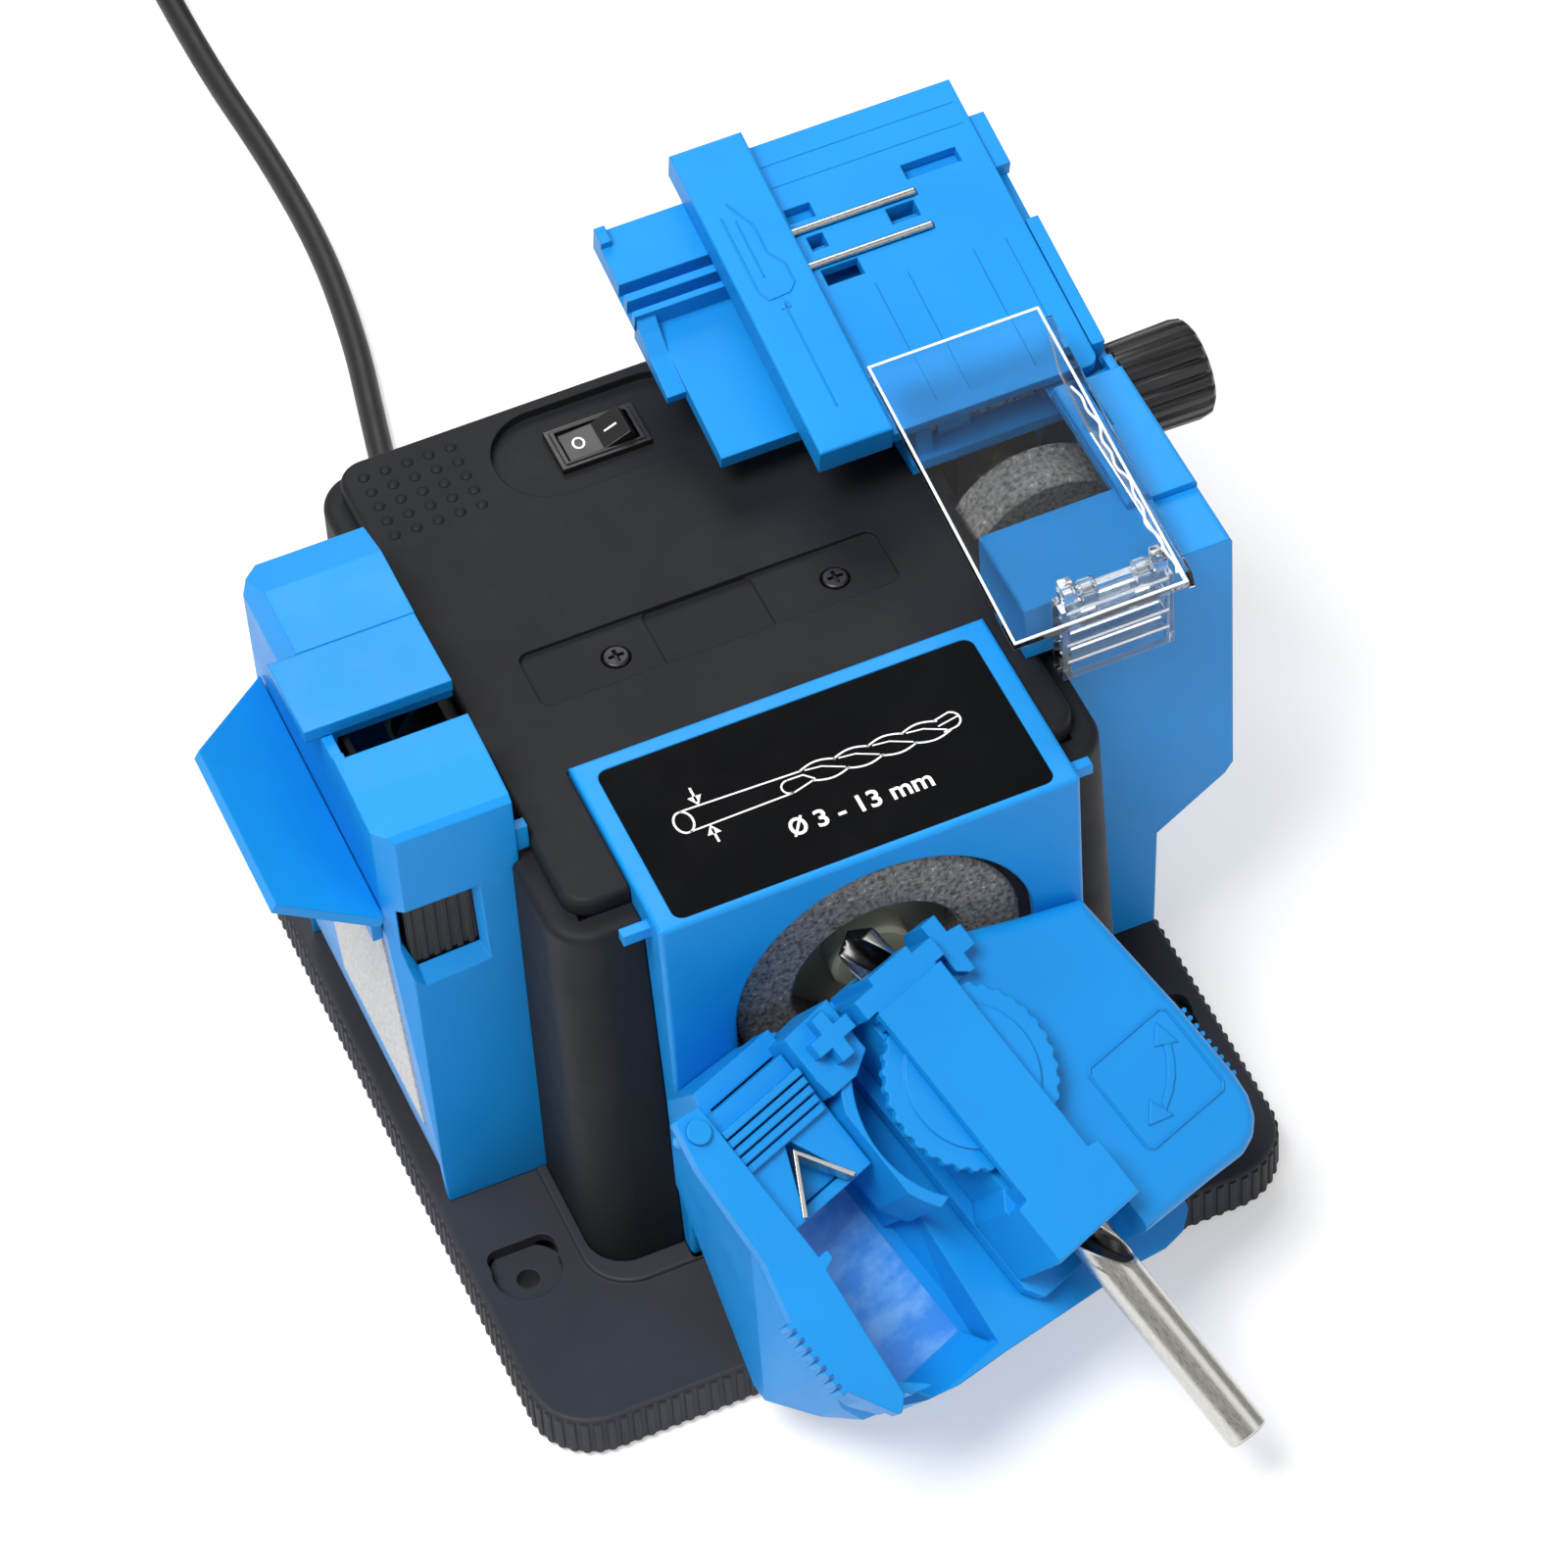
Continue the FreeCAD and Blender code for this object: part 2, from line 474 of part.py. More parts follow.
fl, fr, ff, fb, ft = D["front_left"], D["front_right"], -D["front_face"], -D["front_back"], D["front_top"]
wall = D["shell_wall"]
front = block(fl, fr, ff, fb, 13.4, ft)
front = round_edges(front, 1.2, UP, lambda e: e.BoundBox.YMax < ff + 0.1)
front = front.makeFillet(1.0, [e for e in front.Edges if e.BoundBox.ZMin > ft - 0.01])
front = front.cut(block(fl + wall, fr - wall, ff + wall, fb + 10, 10, ft - wall))
arch_x, arch_z, arch_r = D["opening_x"], D["opening_z"], D["opening_radius"]
arch = rod(arch_r, Vector(arch_x, ff - 5, arch_z), Vector(arch_x, ff + 10, arch_z))
arch = arch.fuse(block(arch_x - arch_r, arch_x + arch_r, ff - 5, ff + 10, 46, arch_z))
front = front.cut(arch)
front = front.cut(slab(D["label_left"] - 0.15, D["label_right"] + 0.15, -D["label_front"] - 0.15,
                       -D["label_back"] + 0.15, ft - D["label_thick"] - 0.1, ft + 5, 2.6))
# Two spring hooks latch over the housing's columns.
for x0, x1 in ((fl - 6.5, fl + 0.5), (fr - 0.5, fr + 5)):
    hook = block(x0, x1, -60, -57.4, 122.5, 125.5)
    front = front.fuse(hook)
feature("front_housing", front)
label = slab(D["label_left"], D["label_right"], -D["label_front"], -D["label_back"],
             ft - D["label_thick"], ft - 0.1, 2.5)
feature("label_plate", label)

# ---------------------------------------------------------------- drill station, in its own oblique frame
# Local x runs across the station, local y up the slope towards the wheel, local z out of the slope.
# The origin is the drill's tip; distances down the slope are therefore negative y.

STATION = Placement(Vector(D["tip_x"], D["tip_y"], D["tip_z"]), Rotation(D["yaw"], 0, D["pitch"]))
hx = D["holder_x"]


def slope(corners, z0, z1):
    """A polygon of (across, down-slope) corners between two levels of the oblique frame."""
    return prism([(x, -a) for x, a in corners], "z", z0, z1 - z0)


def to_world(shape):
    """Move a shape from the oblique frame to the machine's."""
    shape = shape.copy()
    shape.Placement = STATION
    return shape


behind_face = block(-120, 120, ff - 0.25, 80, -20, 160)
under_floor = block(-120, 120, -300, 80, -80, 13.3)
beyond_left = block(-200, D["station_left"], -300, 80, -80, 160)
inside_left = block(D["station_left"] + 2.4, 200, -300, 80, -80, 160)
ledge = D["ledge"]
# The upper body: a high wall on the left and round the gauge, a low ledge in front and on the right.
tray_high = slope([(-61, 8), (-61, 74), (-58.5, 82), (-54, 87.5), (-49, 89), (-52, 82), (-52, 57.5),
                   (-27, 57.5), (-27, 8)], -26.4, -5)
tray_low = slope([(-61, 8), (-61, 74), (-58.5, 83), (-54, 89), (-48, 92), (-40, 94.2), (-27, 95.6), (-10, 98),
                  (12, 101), (19, 102.6), (25, 102.4), (29.5, 99.5), (31, 94), (31, 8)], -60, ledge)
tray_low = round_edges(tray_low, 2, UP, lambda e: e.BoundBox.YMax < -84)
column = slab(D["station_left"], 120, -131, 60, -20, 160, 11)
lower = to_world(tray_low.common(slope([(-200, 0), (200, 0), (200, 200), (-200, 200)], -60, -25))).common(column)
upper = to_world(tray_low.common(slope([(-200, 0), (200, 0), (200, 200), (-200, 200)], -26.4, 10)))
tray = to_world(tray_high).fuse(upper).fuse(lower)
# The belly follows the base: upright at the machine's front face, then a slope that leaves the table.
belly = prism([(-300, -20), (-300, 46), (-139, 30), (-98.6, 13.3), (-60, 13.3), (-60, -20)], "x", -120, 240)
tray = tray.cut(belly).cut(behind_face).cut(under_floor).cut(beyond_left)
# The dust pocket's front rises in a ramp; its right wall leans out to the ledge.
pocket_side = [(-44.5, -24), (-87.2, -24), (-93.2, ledge + 0.1), (-93.2, 5), (-44.5, 5)]
pocket = prism(pocket_side, "x", -57.5, 31.2)
pocket = pocket.common(slope([(-57.5, 40), (-57.5, 78), (-54, 84), (-49, 88.5), (-44, 95), (-26.4, 95), (-24.6, 56),
                              (-24.6, 40)], -30, 10))
pocket = pocket.fuse(prism([(-27.2, -24), (-24.9, -24), (-21.6, ledge), (-21.6, 5), (-27.2, 5)], "y", -92, 33))
pocket = pocket.common(slope([(-70, 40), (-70, 100), (-26.6, 93.8), (-22.2, 59), (-24, 56), (-24, 40)], -30, 10))
gauge_seat = to_world(slope([(-57.5, 13), (-57.5, 42), (-29.5, 42), (-29.5, 13)], -16, 5))
tray = tray.cut(to_world(pocket).common(inside_left)).cut(gauge_seat.common(inside_left))
tray = tray.cut(to_world(slope([(-20, 24), (-20, 90), (17, 94), (28, 92), (28, 24)], -40, ledge - 3)))
tray = tray.cut(block(-43.5, -20, -90, -60, 16, 60)).cut(rod(36, Vector(6.5, -70, 84), Vector(6.5, -40, 84)))
tray = tray.fuse(to_world(Part.makeCylinder(7, ledge + 23, Vector(hx, -D["pivot_along"], -23)))).cut(behind_face)
tray = tray.cut(to_world(Part.makeCylinder(3, 12, Vector(hx, -D["pivot_along"], -24))))
# Beside the dial: a curved wall, and a block at the nose with a raised cross.
arc = Part.makeCylinder(28.4, 18, Vector(hx, -D["dial_along"], -14))
arc = arc.cut(Part.makeCylinder(25.6, 30, Vector(hx, -D["dial_along"], -20)))
arc = arc.common(slope([(-40, 22), (-16.4, 22), (-16.4, 66), (-40, 66)], -20, 20))
arc = arc.common(slope([(-40, 20), (-10, 20), (-10, 57), (-25, 60.5), (-29.3, 58), (-29.3, 20)], -20, 20))
nose_block = slope([(-30.5, 11), (-16.4, 10.4), (-16.4, 24), (-22, 27), (-29.4, 27), (-30.5, 20)], -14, 5)
cross_post = slope([(-24, 11.4), (-20.4, 11.2), (-20.4, 15), (-16.5, 15), (-16.5, 18.6), (-20.4, 18.6),
                    (-20.4, 22.6), (-24, 22.6), (-24, 18.8), (-27.6, 18.8), (-27.6, 15.2), (-24, 15.2)], 4.9, 8.6)
side_wall = to_world(arc.fuse(nose_block).fuse(cross_post)).cut(behind_face)
tray = tray.fuse(side_wall.cut(to_world(slope([(-30.1, 8), (-30.1, 44.4), (-50, 44.4), (-50, 8)], -20, 20))))
feature("station_tray", max(tray.Solids, key=lambda s: s.Volume))

# Length gauge: a stepped block with two steel jaws set in a V.
gauge = slope([(-55.4, 13.4), (-29.9, 13.4), (-29.9, 43.8), (-55.4, 43.8)], -4.6, 0)
gauge_foot = slope([(-57.2, 13.6), (-29.9, 13.6), (-29.9, 41.7), (-57.2, 41.7)], -15.7, -4.5)
gauge_foot.Placement = STATION
gauge_foot = gauge_foot.common(block(D["station_left"] + 2.7, 200, -300, 80, -80, 160))
gauge_foot = gauge_foot.transformed(STATION.inverse().toMatrix())
gauge = gauge.fuse(gauge_foot)
for step in range(5):
    start = 17.5 + 2.3 * step
    gauge = gauge.fuse(slope([(-54.4, start), (-31, start), (-31, start + 1.7), (-54.4, start + 1.7)],
                             -1, 3.6 - 0.5 * step))
gauge = gauge.cut(slope([(-43.2, 28.8), (-41.6, 28.8), (-33.6, 46), (-51.4, 46)], -7, 5))
jaws = []
for reach in (-8.2, 8.2):
    outline = [(-42.4, 30.4), (-42.4 + reach, 43.0), (-42.4 + reach - 1.1 * (1 if reach > 0 else -1), 43.4)]
    outline += [(-42.4 - 0.01, 31.9)]
    jaws.append(slope(outline, -4.3, 0.4))
jaw_set = jaws[0].fuse(jaws[1])
gauge = gauge.cut(jaw_set).cut(nose_block).cut(arc)
feature("gauge_block", max(gauge.Solids, key=lambda s: s.Volume), STATION)
feature("gauge_jaws", jaw_set, STATION)

lever = slope([(-61.5, 9), (-55, 10), (-55, 51), (-52.5, 51), (-52.5, 53), (-55.5, 54), (-59.4, 85), (-63, 88),
               (-69.5, 76), (-69.5, 58), (-65.5, 44), (-64, 20)], 1, 4.2)
lever = round_edges(lever, 1.0, UP, lambda e: e.BoundBox.XMax < -58)
for rib in range(8):
    start = 57.5 + 2.5 * rib
    lever = lever.fuse(slope([(-70.6, start), (-67, start), (-67, start + 1.5), (-70.6, start + 1.5)], -1, 4.2))
lever = lever.cut(Part.makeCylinder(1.85, 20, Vector(-59, -14, -5)))
feature("gauge_lever", lever, STATION)
pin = Part.makeCylinder(1.8, 11, Vector(-59, -14, -6)).fuse(Part.makeCylinder(2.8, 0.8, Vector(-59, -14, 4.5)))
feature("lever_pin", pin, STATION)

# Swinging cradle: floor, nose post with its cross, and the broad domed cover.
cradle = slope([(-15.7, 24), (-15.7, 88), (-13, 92), (11, 92), (11, 24)], ledge + 1, -9.6)
cradle = cradle.fuse(slope([(-13, 13), (-15.7, 25), (17, 25), (17, 12)], ledge + 1, -9.6))
cradle = cradle.fuse(slope([(10.2, 11.5), (14.4, 11.5), (14.4, 16), (18, 16.6), (18, 22), (14.4, 22),
                            (14.4, 26), (10.2, 26)], -9.7, 8.6))
wing_outline = [(10.2, 16.5), (17, 17.4), (33, 24.5), (48.2, 30.5), (50.5, 62), (51, 82), (50.4, 87.5), (48.4, 92),
                (45, 95), (40.5, 96.4), (30, 95.6), (10.2, 94.6)]
wing = slope(wing_outline, -9, 4)
wing = round_edges(wing, 5, UP, lambda e: e.BoundBox.YMax < -86 and e.BoundBox.XMin > 39)
wing = wing.makeFillet(3.2, [e for e in wing.Edges if e.BoundBox.ZMin > 3.9 and e.BoundBox.XMin > 11
                             and (e.BoundBox.YMin > -90 or e.BoundBox.XMin > 29)])
inner = [(13, 27), (32, 28.5), (45.6, 34), (48, 62), (48.4, 82), (47, 89), (44, 92), (40, 93.6), (30, 93), (13, 92)]
wing = wing.cut(slope(inner, -20, 0.2))
cradle = cradle.fuse(wing)
cradle = cradle.fuse(slope([(10.2, 25), (13.2, 25), (13.2, 94), (10.2, 94)], ledge + 1, 3))
cradle = cradle.cut(slope([(hx - 13, 10), (hx + 13, 10), (hx + 13, 96), (hx - 13, 96)], -9.6, 20))
cradle = cradle.cut(Part.makeCylinder(23.2, 12, Vector(hx, -D["dial_along"], 5.2)))
cradle = cradle.fuse(Part.makeCylinder(6.6, -9.6 - ledge - 0.6, Vector(hx, -D["pivot_along"], ledge + 0.6)))
cradle = cradle.cut(Part.makeCylinder(3.05, 20, Vector(hx, -D["pivot_along"], -20)))
wall_side = behind_face.transformed(STATION.inverse().toMatrix())
cradle = cradle.cut(wall_side)
feature("swing_cradle", max(cradle.Solids, key=lambda s: s.Volume), STATION)
pivot = Part.makeCylinder(3, 11.6, Vector(hx, -D["pivot_along"], -21.8)).cut(wall_side)
feature("cradle_pivot", pivot, STATION)

# Drill holder: bored block, shaped nose and the bridge over the clamp dial.
hh = D["holder_half"]
holder = slope([(hx - hh + 2.9, 17), (hx + hh - 2.9, 17), (hx + hh - 2.9, 66), (hx + hh, 70), (hx + hh, 85.5),
                (hx - hh, 85.5), (hx - hh, 70), (hx - hh + 2.9, 66)], -9.3, 7)
bridge = slope([(hx - 9.7, 19.4), (hx + 9.7, 19.4), (hx + 9.7, 70.5), (hx + hh, 71), (hx + hh, 85.5),
                (hx - hh, 85.5), (hx - hh, 71), (hx - 9.7, 70.5)], 6.9, 13)
bridge = bridge.cut(slope([(-40, 21), (40, 21), (40, 66.6), (-40, 66.6)], 6.8, 10.8))
holder = holder.fuse(bridge)
cross = slope([(hx - 6, 12.2), (hx + 6, 12.2), (hx + 6, 14.2), (hx + 12, 14.2), (hx + 12, 19), (hx + 9, 19),
               (hx + 9, 24), (hx - 9, 24), (hx - 9, 19), (hx - 12, 19), (hx - 12, 14.2), (hx - 6, 14.2)], -9.3, 12)
holder = holder.fuse(cross).cut(Part.makeCylinder(D["dial_radius"] + 0.4, 3.8, Vector(hx, -D["dial_along"], 7)))
holder = round_edges(holder, 1.0, Vector(1, 0, 0), lambda e: e.BoundBox.ZMin > 12.9 and e.BoundBox.YMax < -80)
holder = holder.cut(rod(D["bit_bore"], Vector(0, -8, 0), Vector(0, -90, 0)))
holder = holder.cut(Part.makeCylinder(5.4, 6, Vector(hx, -D["dial_along"], 4)))
holder = holder.fuse(rod(D["bit_bore"] + 0.5, Vector(0, -78, 0), Vector(0, -85.5, 0)).common(holder))
holder = holder.cut(rod(D["bit_radius"] + 0.1, Vector(0, -70, 0), Vector(0, -90, 0)))
holder = holder.cut(wall_side)
feature("drill_holder", max(holder.Solids, key=lambda s: s.Volume), STATION)
feature("clamp_pad", Part.makeCylinder(5, 1.75, Vector(hx, -D["dial_along"], 5.55)), STATION)

knurl_count = 36
dial = Part.makeCylinder(D["dial_radius"] - 0.9, 2.4, Vector(hx, -D["dial_along"], 7.3))
lobes = []
for index in range(knurl_count):
    angle = 2 * math.pi * index / knurl_count
    spot = Vector(hx + (D["dial_radius"] - 1.6) * math.cos(angle),
                  -D["dial_along"] + (D["dial_radius"] - 1.6) * math.sin(angle), 7.3)
    lobes.append(Part.makeCylinder(1.35, 2.4, spot))
dial = dial.multiFuse(lobes)
dial = dial.fuse(Part.makeCylinder(D["dial_disc"], 3.1, Vector(hx, -D["dial_along"], 7.3)))
feature("clamp_dial", dial.removeSplitter(), STATION)

# The bit's point touches the wheel; it starts a little down the slope for clearance.
turned("drill_bit", [(0, -2.6), (0, "-2.6 - bit_length"), ("bit_radius - 0.4", "-2.6 - bit_length"),
                     ("bit_radius", "-2.2 - bit_length"), ("bit_radius", "-2.6 - bit_radius * 0.6")],
       STATION)

# ---------------------------------------------------------------- knife and scissors station

kl, kr, kf, kb, kt = (D[k] for k in ("knife_left", "knife_right", "knife_front", "knife_back", "knife_top"))
side_view = [(kf, 13.2), (kf, 141), (kf + 1.5, 142.4), (kf + 14, 143.8), (D["slot_front"], 144.4),
             (D["slot_back"], 144.4), (D["guide_back"], 143.2), (D["guide_back"] + 0.3, 145.2), (48, 145.2),
             (kb - 1, 141), (kb, 138), (kb, 13.2)]
knife = prism(side_view, "x", kl, kr - kl)
trim_left = prism([(kl - 1, 138), (kl - 1, 150), (kl + 6, 150)], "y", kf - 5, 100)
trim_left = trim_left.common(block(kl - 2, kl + 8, D["slot_back"], kb + 5, 130, 160))
knife = knife.cut(trim_left)
knife = knife.cut(prism([(kl - 1, kf + 5), (kl - 1, kf - 1), (kl + 5, kf - 1)], "z", 10, 140))
knife = knife.cut(prism([(kl - 1, kb - 8), (kl - 1, kb + 1), (kl + 7, kb + 1)], "z", 10, 140))
hollow = prism([(kf + wall, 13), (kf + wall, 139.5), (kb - wall, 139.5), (kb - wall, 13)], "x", kl + wall + 1.5, 40)
knife = knife.cut(hollow)
knife = knife.cut(block(kl + 2.5, kr + 5, D["slot_front"], D["slot_back"], 120, 160))
knife = knife.cut(block(kl - 5, kr + 5, D["slot_back"] - 5, D["guide_back"], 143.15, 160).cut(
    block(kl - 6, kr + 6, D["slot_front"] - 10, D["slot_back"] - 2, 140, 170)))
window = prism([(-89.2, 117.3), (-72, 117.3), (-71.6, 97), (-86.2, 96.2), (-89.2, 105.8)], "y", kf - 5, 12)
knife = knife.cut(window)
bevel_outer = [(-90.6, 118), (-70.6, 118), (-70.2, 92.4), (-85.6, 91.2), (-90.6, 97.5)]
bevel_inner = [(-89.2, 117.3), (-72, 117.3), (-71.6, 97), (-86.2, 96.2), (-89.2, 105.8)]
outer_wire = Part.makePolygon([Vector(x, kf - 0.01, z) for x, z in bevel_outer + bevel_outer[:1]])
inner_wire = Part.makePolygon([Vector(x, kf + 2.2, z) for x, z in bevel_inner + bevel_inner[:1]])
knife = knife.cut(Part.makeLoft([outer_wire, inner_wire], True, True))
knife = knife.cut(prism([(kl - 1, 13), (kl + 4.5, 13), (kl, 112), (kl - 1, 112)], "y", kf - 5, 110))
stone_recess = prism([(kl - 2, 33), (kl + 5.2, 33), (kl + 1.8, 108), (kl - 2, 108)], "y", -20, 50.6)
knife = knife.cut(stone_recess)
knife = knife.fuse(block(kr - 0.5, kr + 3, kf + 0.6, kf + 3.2, 124, 131))
knife = knife.cut(block(kl - 5, kl + 2.6, D["slot_front"] + 1.5, D["slot_back"], 143.15, 160))
feature("knife_housing", max(knife.Solids, key=lambda s: s.Volume))

knife_plate = prism([(D["slot_back"] - 1.8, 143.5), (D["slot_back"] - 1.8, 146.8), (D["guide_back"] - 0.3, 145.6),
                     (D["guide_back"] - 0.3, 143.5)], "x", kl - 3.6, kr - kl + 3.4)
knife_plate = knife_plate.fuse(block(kl + 8, kr - 6, D["guide_back"] - 9, D["guide_back"] - 3, 139.8, 144))
knife_top_gap = block(kl + 7.6, kr - 5.6, D["slot_back"] + 4, D["guide_back"] - 2.6, 139, 143.6)
knife_obj = doc.getObject("knife_housing")
knife_obj.Shape = knife_obj.Shape.cut(knife_top_gap)
feature("knife_guide_plate", knife_plate)

guide = Part.Face(Part.makePolygon([Vector(-92.3, kf + 1, 117), Vector(-115, kf + 2.5, 132.6),
                                    Vector(-115, 22.5, 132.6), Vector(-92.3, 50, 117), Vector(-92.3, kf + 1, 117)]))
guide = guide.extrude(Vector(-1.3, 0, -2.1))
guide = guide.fuse(block(-94.6, -92.2, kf + 5, 48, 106, 116.4))
feature("scissor_guide", guide)
stone = prism([(kl + 3.2, 33.6), (kl + 5.0, 33.6), (kl + 1.6, 107.4), (kl - 0.2, 107.4)], "y", -19.4, 49.4)
feature("honing_stone", stone)
insert_back = block(-87.7, -70.5, kf + 3.1, kf + 4.6, 90, 119.5)
for rib in range(6):
    insert_back = insert_back.fuse(block(-87.4 + 2.7 * rib, -86 + 2.7 * rib, kf + 2.6, kf + 3.2, 97, 116))
insert_back = insert_back.fuse(block(-87, -85.6, kf + 3.1, 27, 90, 119.5))
insert_back = insert_back.fuse(block(-87, -62.5, 25.6, 27, 118, 138.8)).fuse(block(-87, -85.6, -12, 27, 118, 138.8))
feature("window_insert", insert_back)

# ---------------------------------------------------------------- chisel station

cl, cr, cf, cb, ct = (D[k] for k in ("chisel_left", "chisel_right", "chisel_front", "chisel_back", "chisel_top"))
lower = bx + bw + 0.3
front_view = [(lower, 20), (88.2, 20), (89.3, 51), (106.5, 63.5), (cr, 66.5), (cr, ct), (cl, ct),
              (cl, 127.4), (lower, 127.4)]
chisel = prism(front_view, "y", cf, cb - cf)
chisel = round_edges(chisel, 1.2, Vector(0, 1, 0), lambda e: e.BoundBox.ZMin > ct - 0.1)
cavity = [(lower - 1, 22.5), (85.7, 22.5), (86.8, 52.5), (104.2, 65.2), (cr - wall, 67.6), (cr - wall, ct - wall),
          (lower + 0.1, ct - wall), (lower - 1, 120)]
chisel = chisel.cut(prism(cavity, "y", cf + wall, cb - cf - 2 * wall))
chisel = chisel.cut(block(cl - 1, D["well_right"], D["well_front"], D["well_back"] + 0.1, 124, 160))
chisel = chisel.cut(block(cl - 10, cr - wall, D["well_back"], cb + 5, 130.4, 160))
chisel = chisel.cut(block(cl - 10, cr + 5, 44, cb + 5, 136, 160))
chisel = chisel.cut(block(cl - 10, cr + 5, 33.6, 45, 139.2, 160))
chisel = chisel.cut(block(D["well_right"] - 1, cr - wall, 28, 34, 140.2, 160))
chisel = chisel.fuse(block(cl + 0.2, cr - wall + 0.1, D["well_back"], cb, 127.4, 130.4))
for x0, x1 in ((60.4, 64.4), (102, 106.2)):
    chisel = chisel.fuse(prism([(33.6, 130), (34.2, 137), (37.8, 139.2), (41.4, 137), (42, 130)], "x", x0, x1 - x0))
pivot_line = (37.8, 135.4)
chisel = chisel.cut(rod(2, Vector(60, *pivot_line), Vector(104.6, *pivot_line)))
chisel = chisel.cut(rod(3.05, Vector(cr - 14, D["knob_y"], D["knob_z"]), Vector(cr + 5, D["knob_y"], D["knob_z"])))
chisel = chisel.cut(block(lower - 1, lower + 1, D["well_front"] + 3, D["well_back"] - 3, 100, 127.3))
feature("chisel_housing", max(chisel.Solids, key=lambda s: s.Volume))
cover = block(D["well_right"] + 0.2, cr - 0.3, -11, 27.5, ct + 0.05, ct + 2)
cover = round_edges(cover, 1, Vector(0, 1, 0), lambda e: e.BoundBox.ZMin > ct + 1.9)
cover = cover.cut(block(96.6, 98.8, 12, 27, ct - 1, ct + 5))
feature("chisel_cover", cover)

REST = Placement(Vector(0, D["rest_y"], D["rest_z"]), Rotation(Vector(1, 0, 0), D["rest_tilt"]))
rest = block(15.5, 103.4, 52, 76, -13.4, -3.3)
rest = rest.fuse(block(18.5, 103.4, 14, 53, -13.4, -9.3))
rest = rest.fuse(block(13.6, 16.2, 52, 76, -9, -3.3)).fuse(block(13.6, 16.2, 71.5, 76, -4, -1.2))
for groove in (53.6, 58.4):
    rest = rest.cut(block(0, 120, groove, groove + 2.8, -8.2, 0))
rest = rest.fuse(prism([(53, -4.5), (53, -13.4), (34, -13.4), (34, -10.8), (44, -9.3), (49, -7)], "x", 14, 4.6))
rest = rest.fuse(block(104.3, 107.4, 5, 41, -6, -0.4)).fuse(block(104.3, 108, 57, 72, -6, -1.6))
rest = rest.fuse(block(97, 108, 60, 70, -13.4, -9)).fuse(block(103.3, 107.4, 30, 72, -13.4, -5.9))
rest = rest.cut(block(100, 104.1, 53.4, 61.4, -8.2, 0))
rest = rest.cut(block(20, 100, 20, 48, -20, -12.2))
for x0 in (66, 92):
    rest = rest.fuse(block(x0, x0 + 8, 5.6, 15, -13.4, -9.3)).fuse(rod(3.4, Vector(x0, 5.6, -11), Vector(x0 + 8, 5.6, -11)))
    rest = rest.cut(rod(2.06, Vector(x0 - 1, 5.6, -11), Vector(x0 + 9, 5.6, -11)))
rest = rest.removeSplitter()
feature("chisel_rest", max(rest.Solids, key=lambda s: s.Volume), REST)
node(cylinder("rest_pin", 2, 43.6, (60.6, pivot_line[0], pivot_line[1]), Rotation(Vector(0, 1, 0), 90)), "rest_pivot")

pl, pr, run = D["plate_left"], D["plate_right"], D["plate_run"]
carriage = block(pl, pr, 0, run, -3, 0)
carriage = round_edges(carriage, 2.5, UP, lambda e: e.BoundBox.XMin > pr - 1 and e.BoundBox.YMax < 1)
for groove in (54.0, 58.8):
    carriage = carriage.fuse(block(pl, pr, groove, groove + 2.0, -7.6, -2.9))
rod_runs = (47.4, 57.1)
for y in rod_runs:
    carriage = carriage.cut(rod(1.2, Vector(pl - 1, y, 0.3), Vector(84.6, y, 0.3)))
slots = [(84, 97.5, 60.7, 64.7), (54.6, 61, 59.5, 63.5), (76, 83, 50.8, 55.2), (56.5, 60.5, 51, 55), (56, 65, 41.3, 45.8)]
for x0, x1, y0, y1 in slots:
    carriage = carriage.cut(block(x0, x1, y0, y1, -9, 2))
feature("chisel_carriage", carriage.removeSplitter(), REST)
rods = [rod(0.9, Vector(37, y, 0.3), Vector(84, y, 0.3)) for y in rod_runs]
feature("guide_rods", Part.makeCompound(rods), REST)

bar = block(35.3, pl - 0.4, -1, 84, -3, 5)
bar = bar.makeFillet(0.7, [e for e in bar.Edges if e.BoundBox.ZMin > 4.9])
for y in rod_runs:
    bar = bar.cut(rod(0.9, Vector(37, y, 0.3), Vector(pl + 30, y, 0.3)))
feature("narrow_chisel_bar", bar, REST)

turned("angle_knob", [(0, -14), (3, -14), (3, 0), ("knob_radius - 1.5", 0), ("knob_radius", 1.5),
                      ("knob_radius", "knob_length - 1.2"), ("knob_radius - 1.2", "knob_length"), (0, "knob_length")],
       Placement(Vector(), ALONG_X), ("knob_x", "knob_y", "knob_z"))

# ---------------------------------------------------------------- clear shield, lifts off upwards

SHIELD = Placement(Vector(0, D["shield_y"], D["shield_z"]), Rotation(Vector(1, 0, 0), D["shield_tilt"]))
sl, sr, st = D["shield_left"], D["shield_right"], D["shield_thick"]
pane = block(sl, sr, 0, D["shield_run"], -st, 0)
pane.Placement = SHIELD
shield = pane.fuse(prism([(-40, 146.2), (-38, 149.4), (33, 161.9), (26, 150), (10, 146.2)], "x", sr - 0.01, 1.9))
hinge_y, hinge_z = -30.9, 146.6
for x0, x1 in ((66, 69), (88, 90.6)):
    lug = block(x0, x1, hinge_y - 2.2, hinge_y + 2.2, hinge_z, 150.4).cut(block(x0, x1, -60, 0, 149.6, 160))
    shield = shield.fuse(lug.fuse(rod(2.2, Vector(x0, hinge_y, hinge_z), Vector(x1, hinge_y, hinge_z))))
shield = shield.fuse(rod(1.2, Vector(66, hinge_y, hinge_z), Vector(90.6, hinge_y, hinge_z)))
feature("wheel_shield", shield.removeSplitter())
bracket = block(65, 91.8, -33.4, -28.4, 122.4, 143.9)
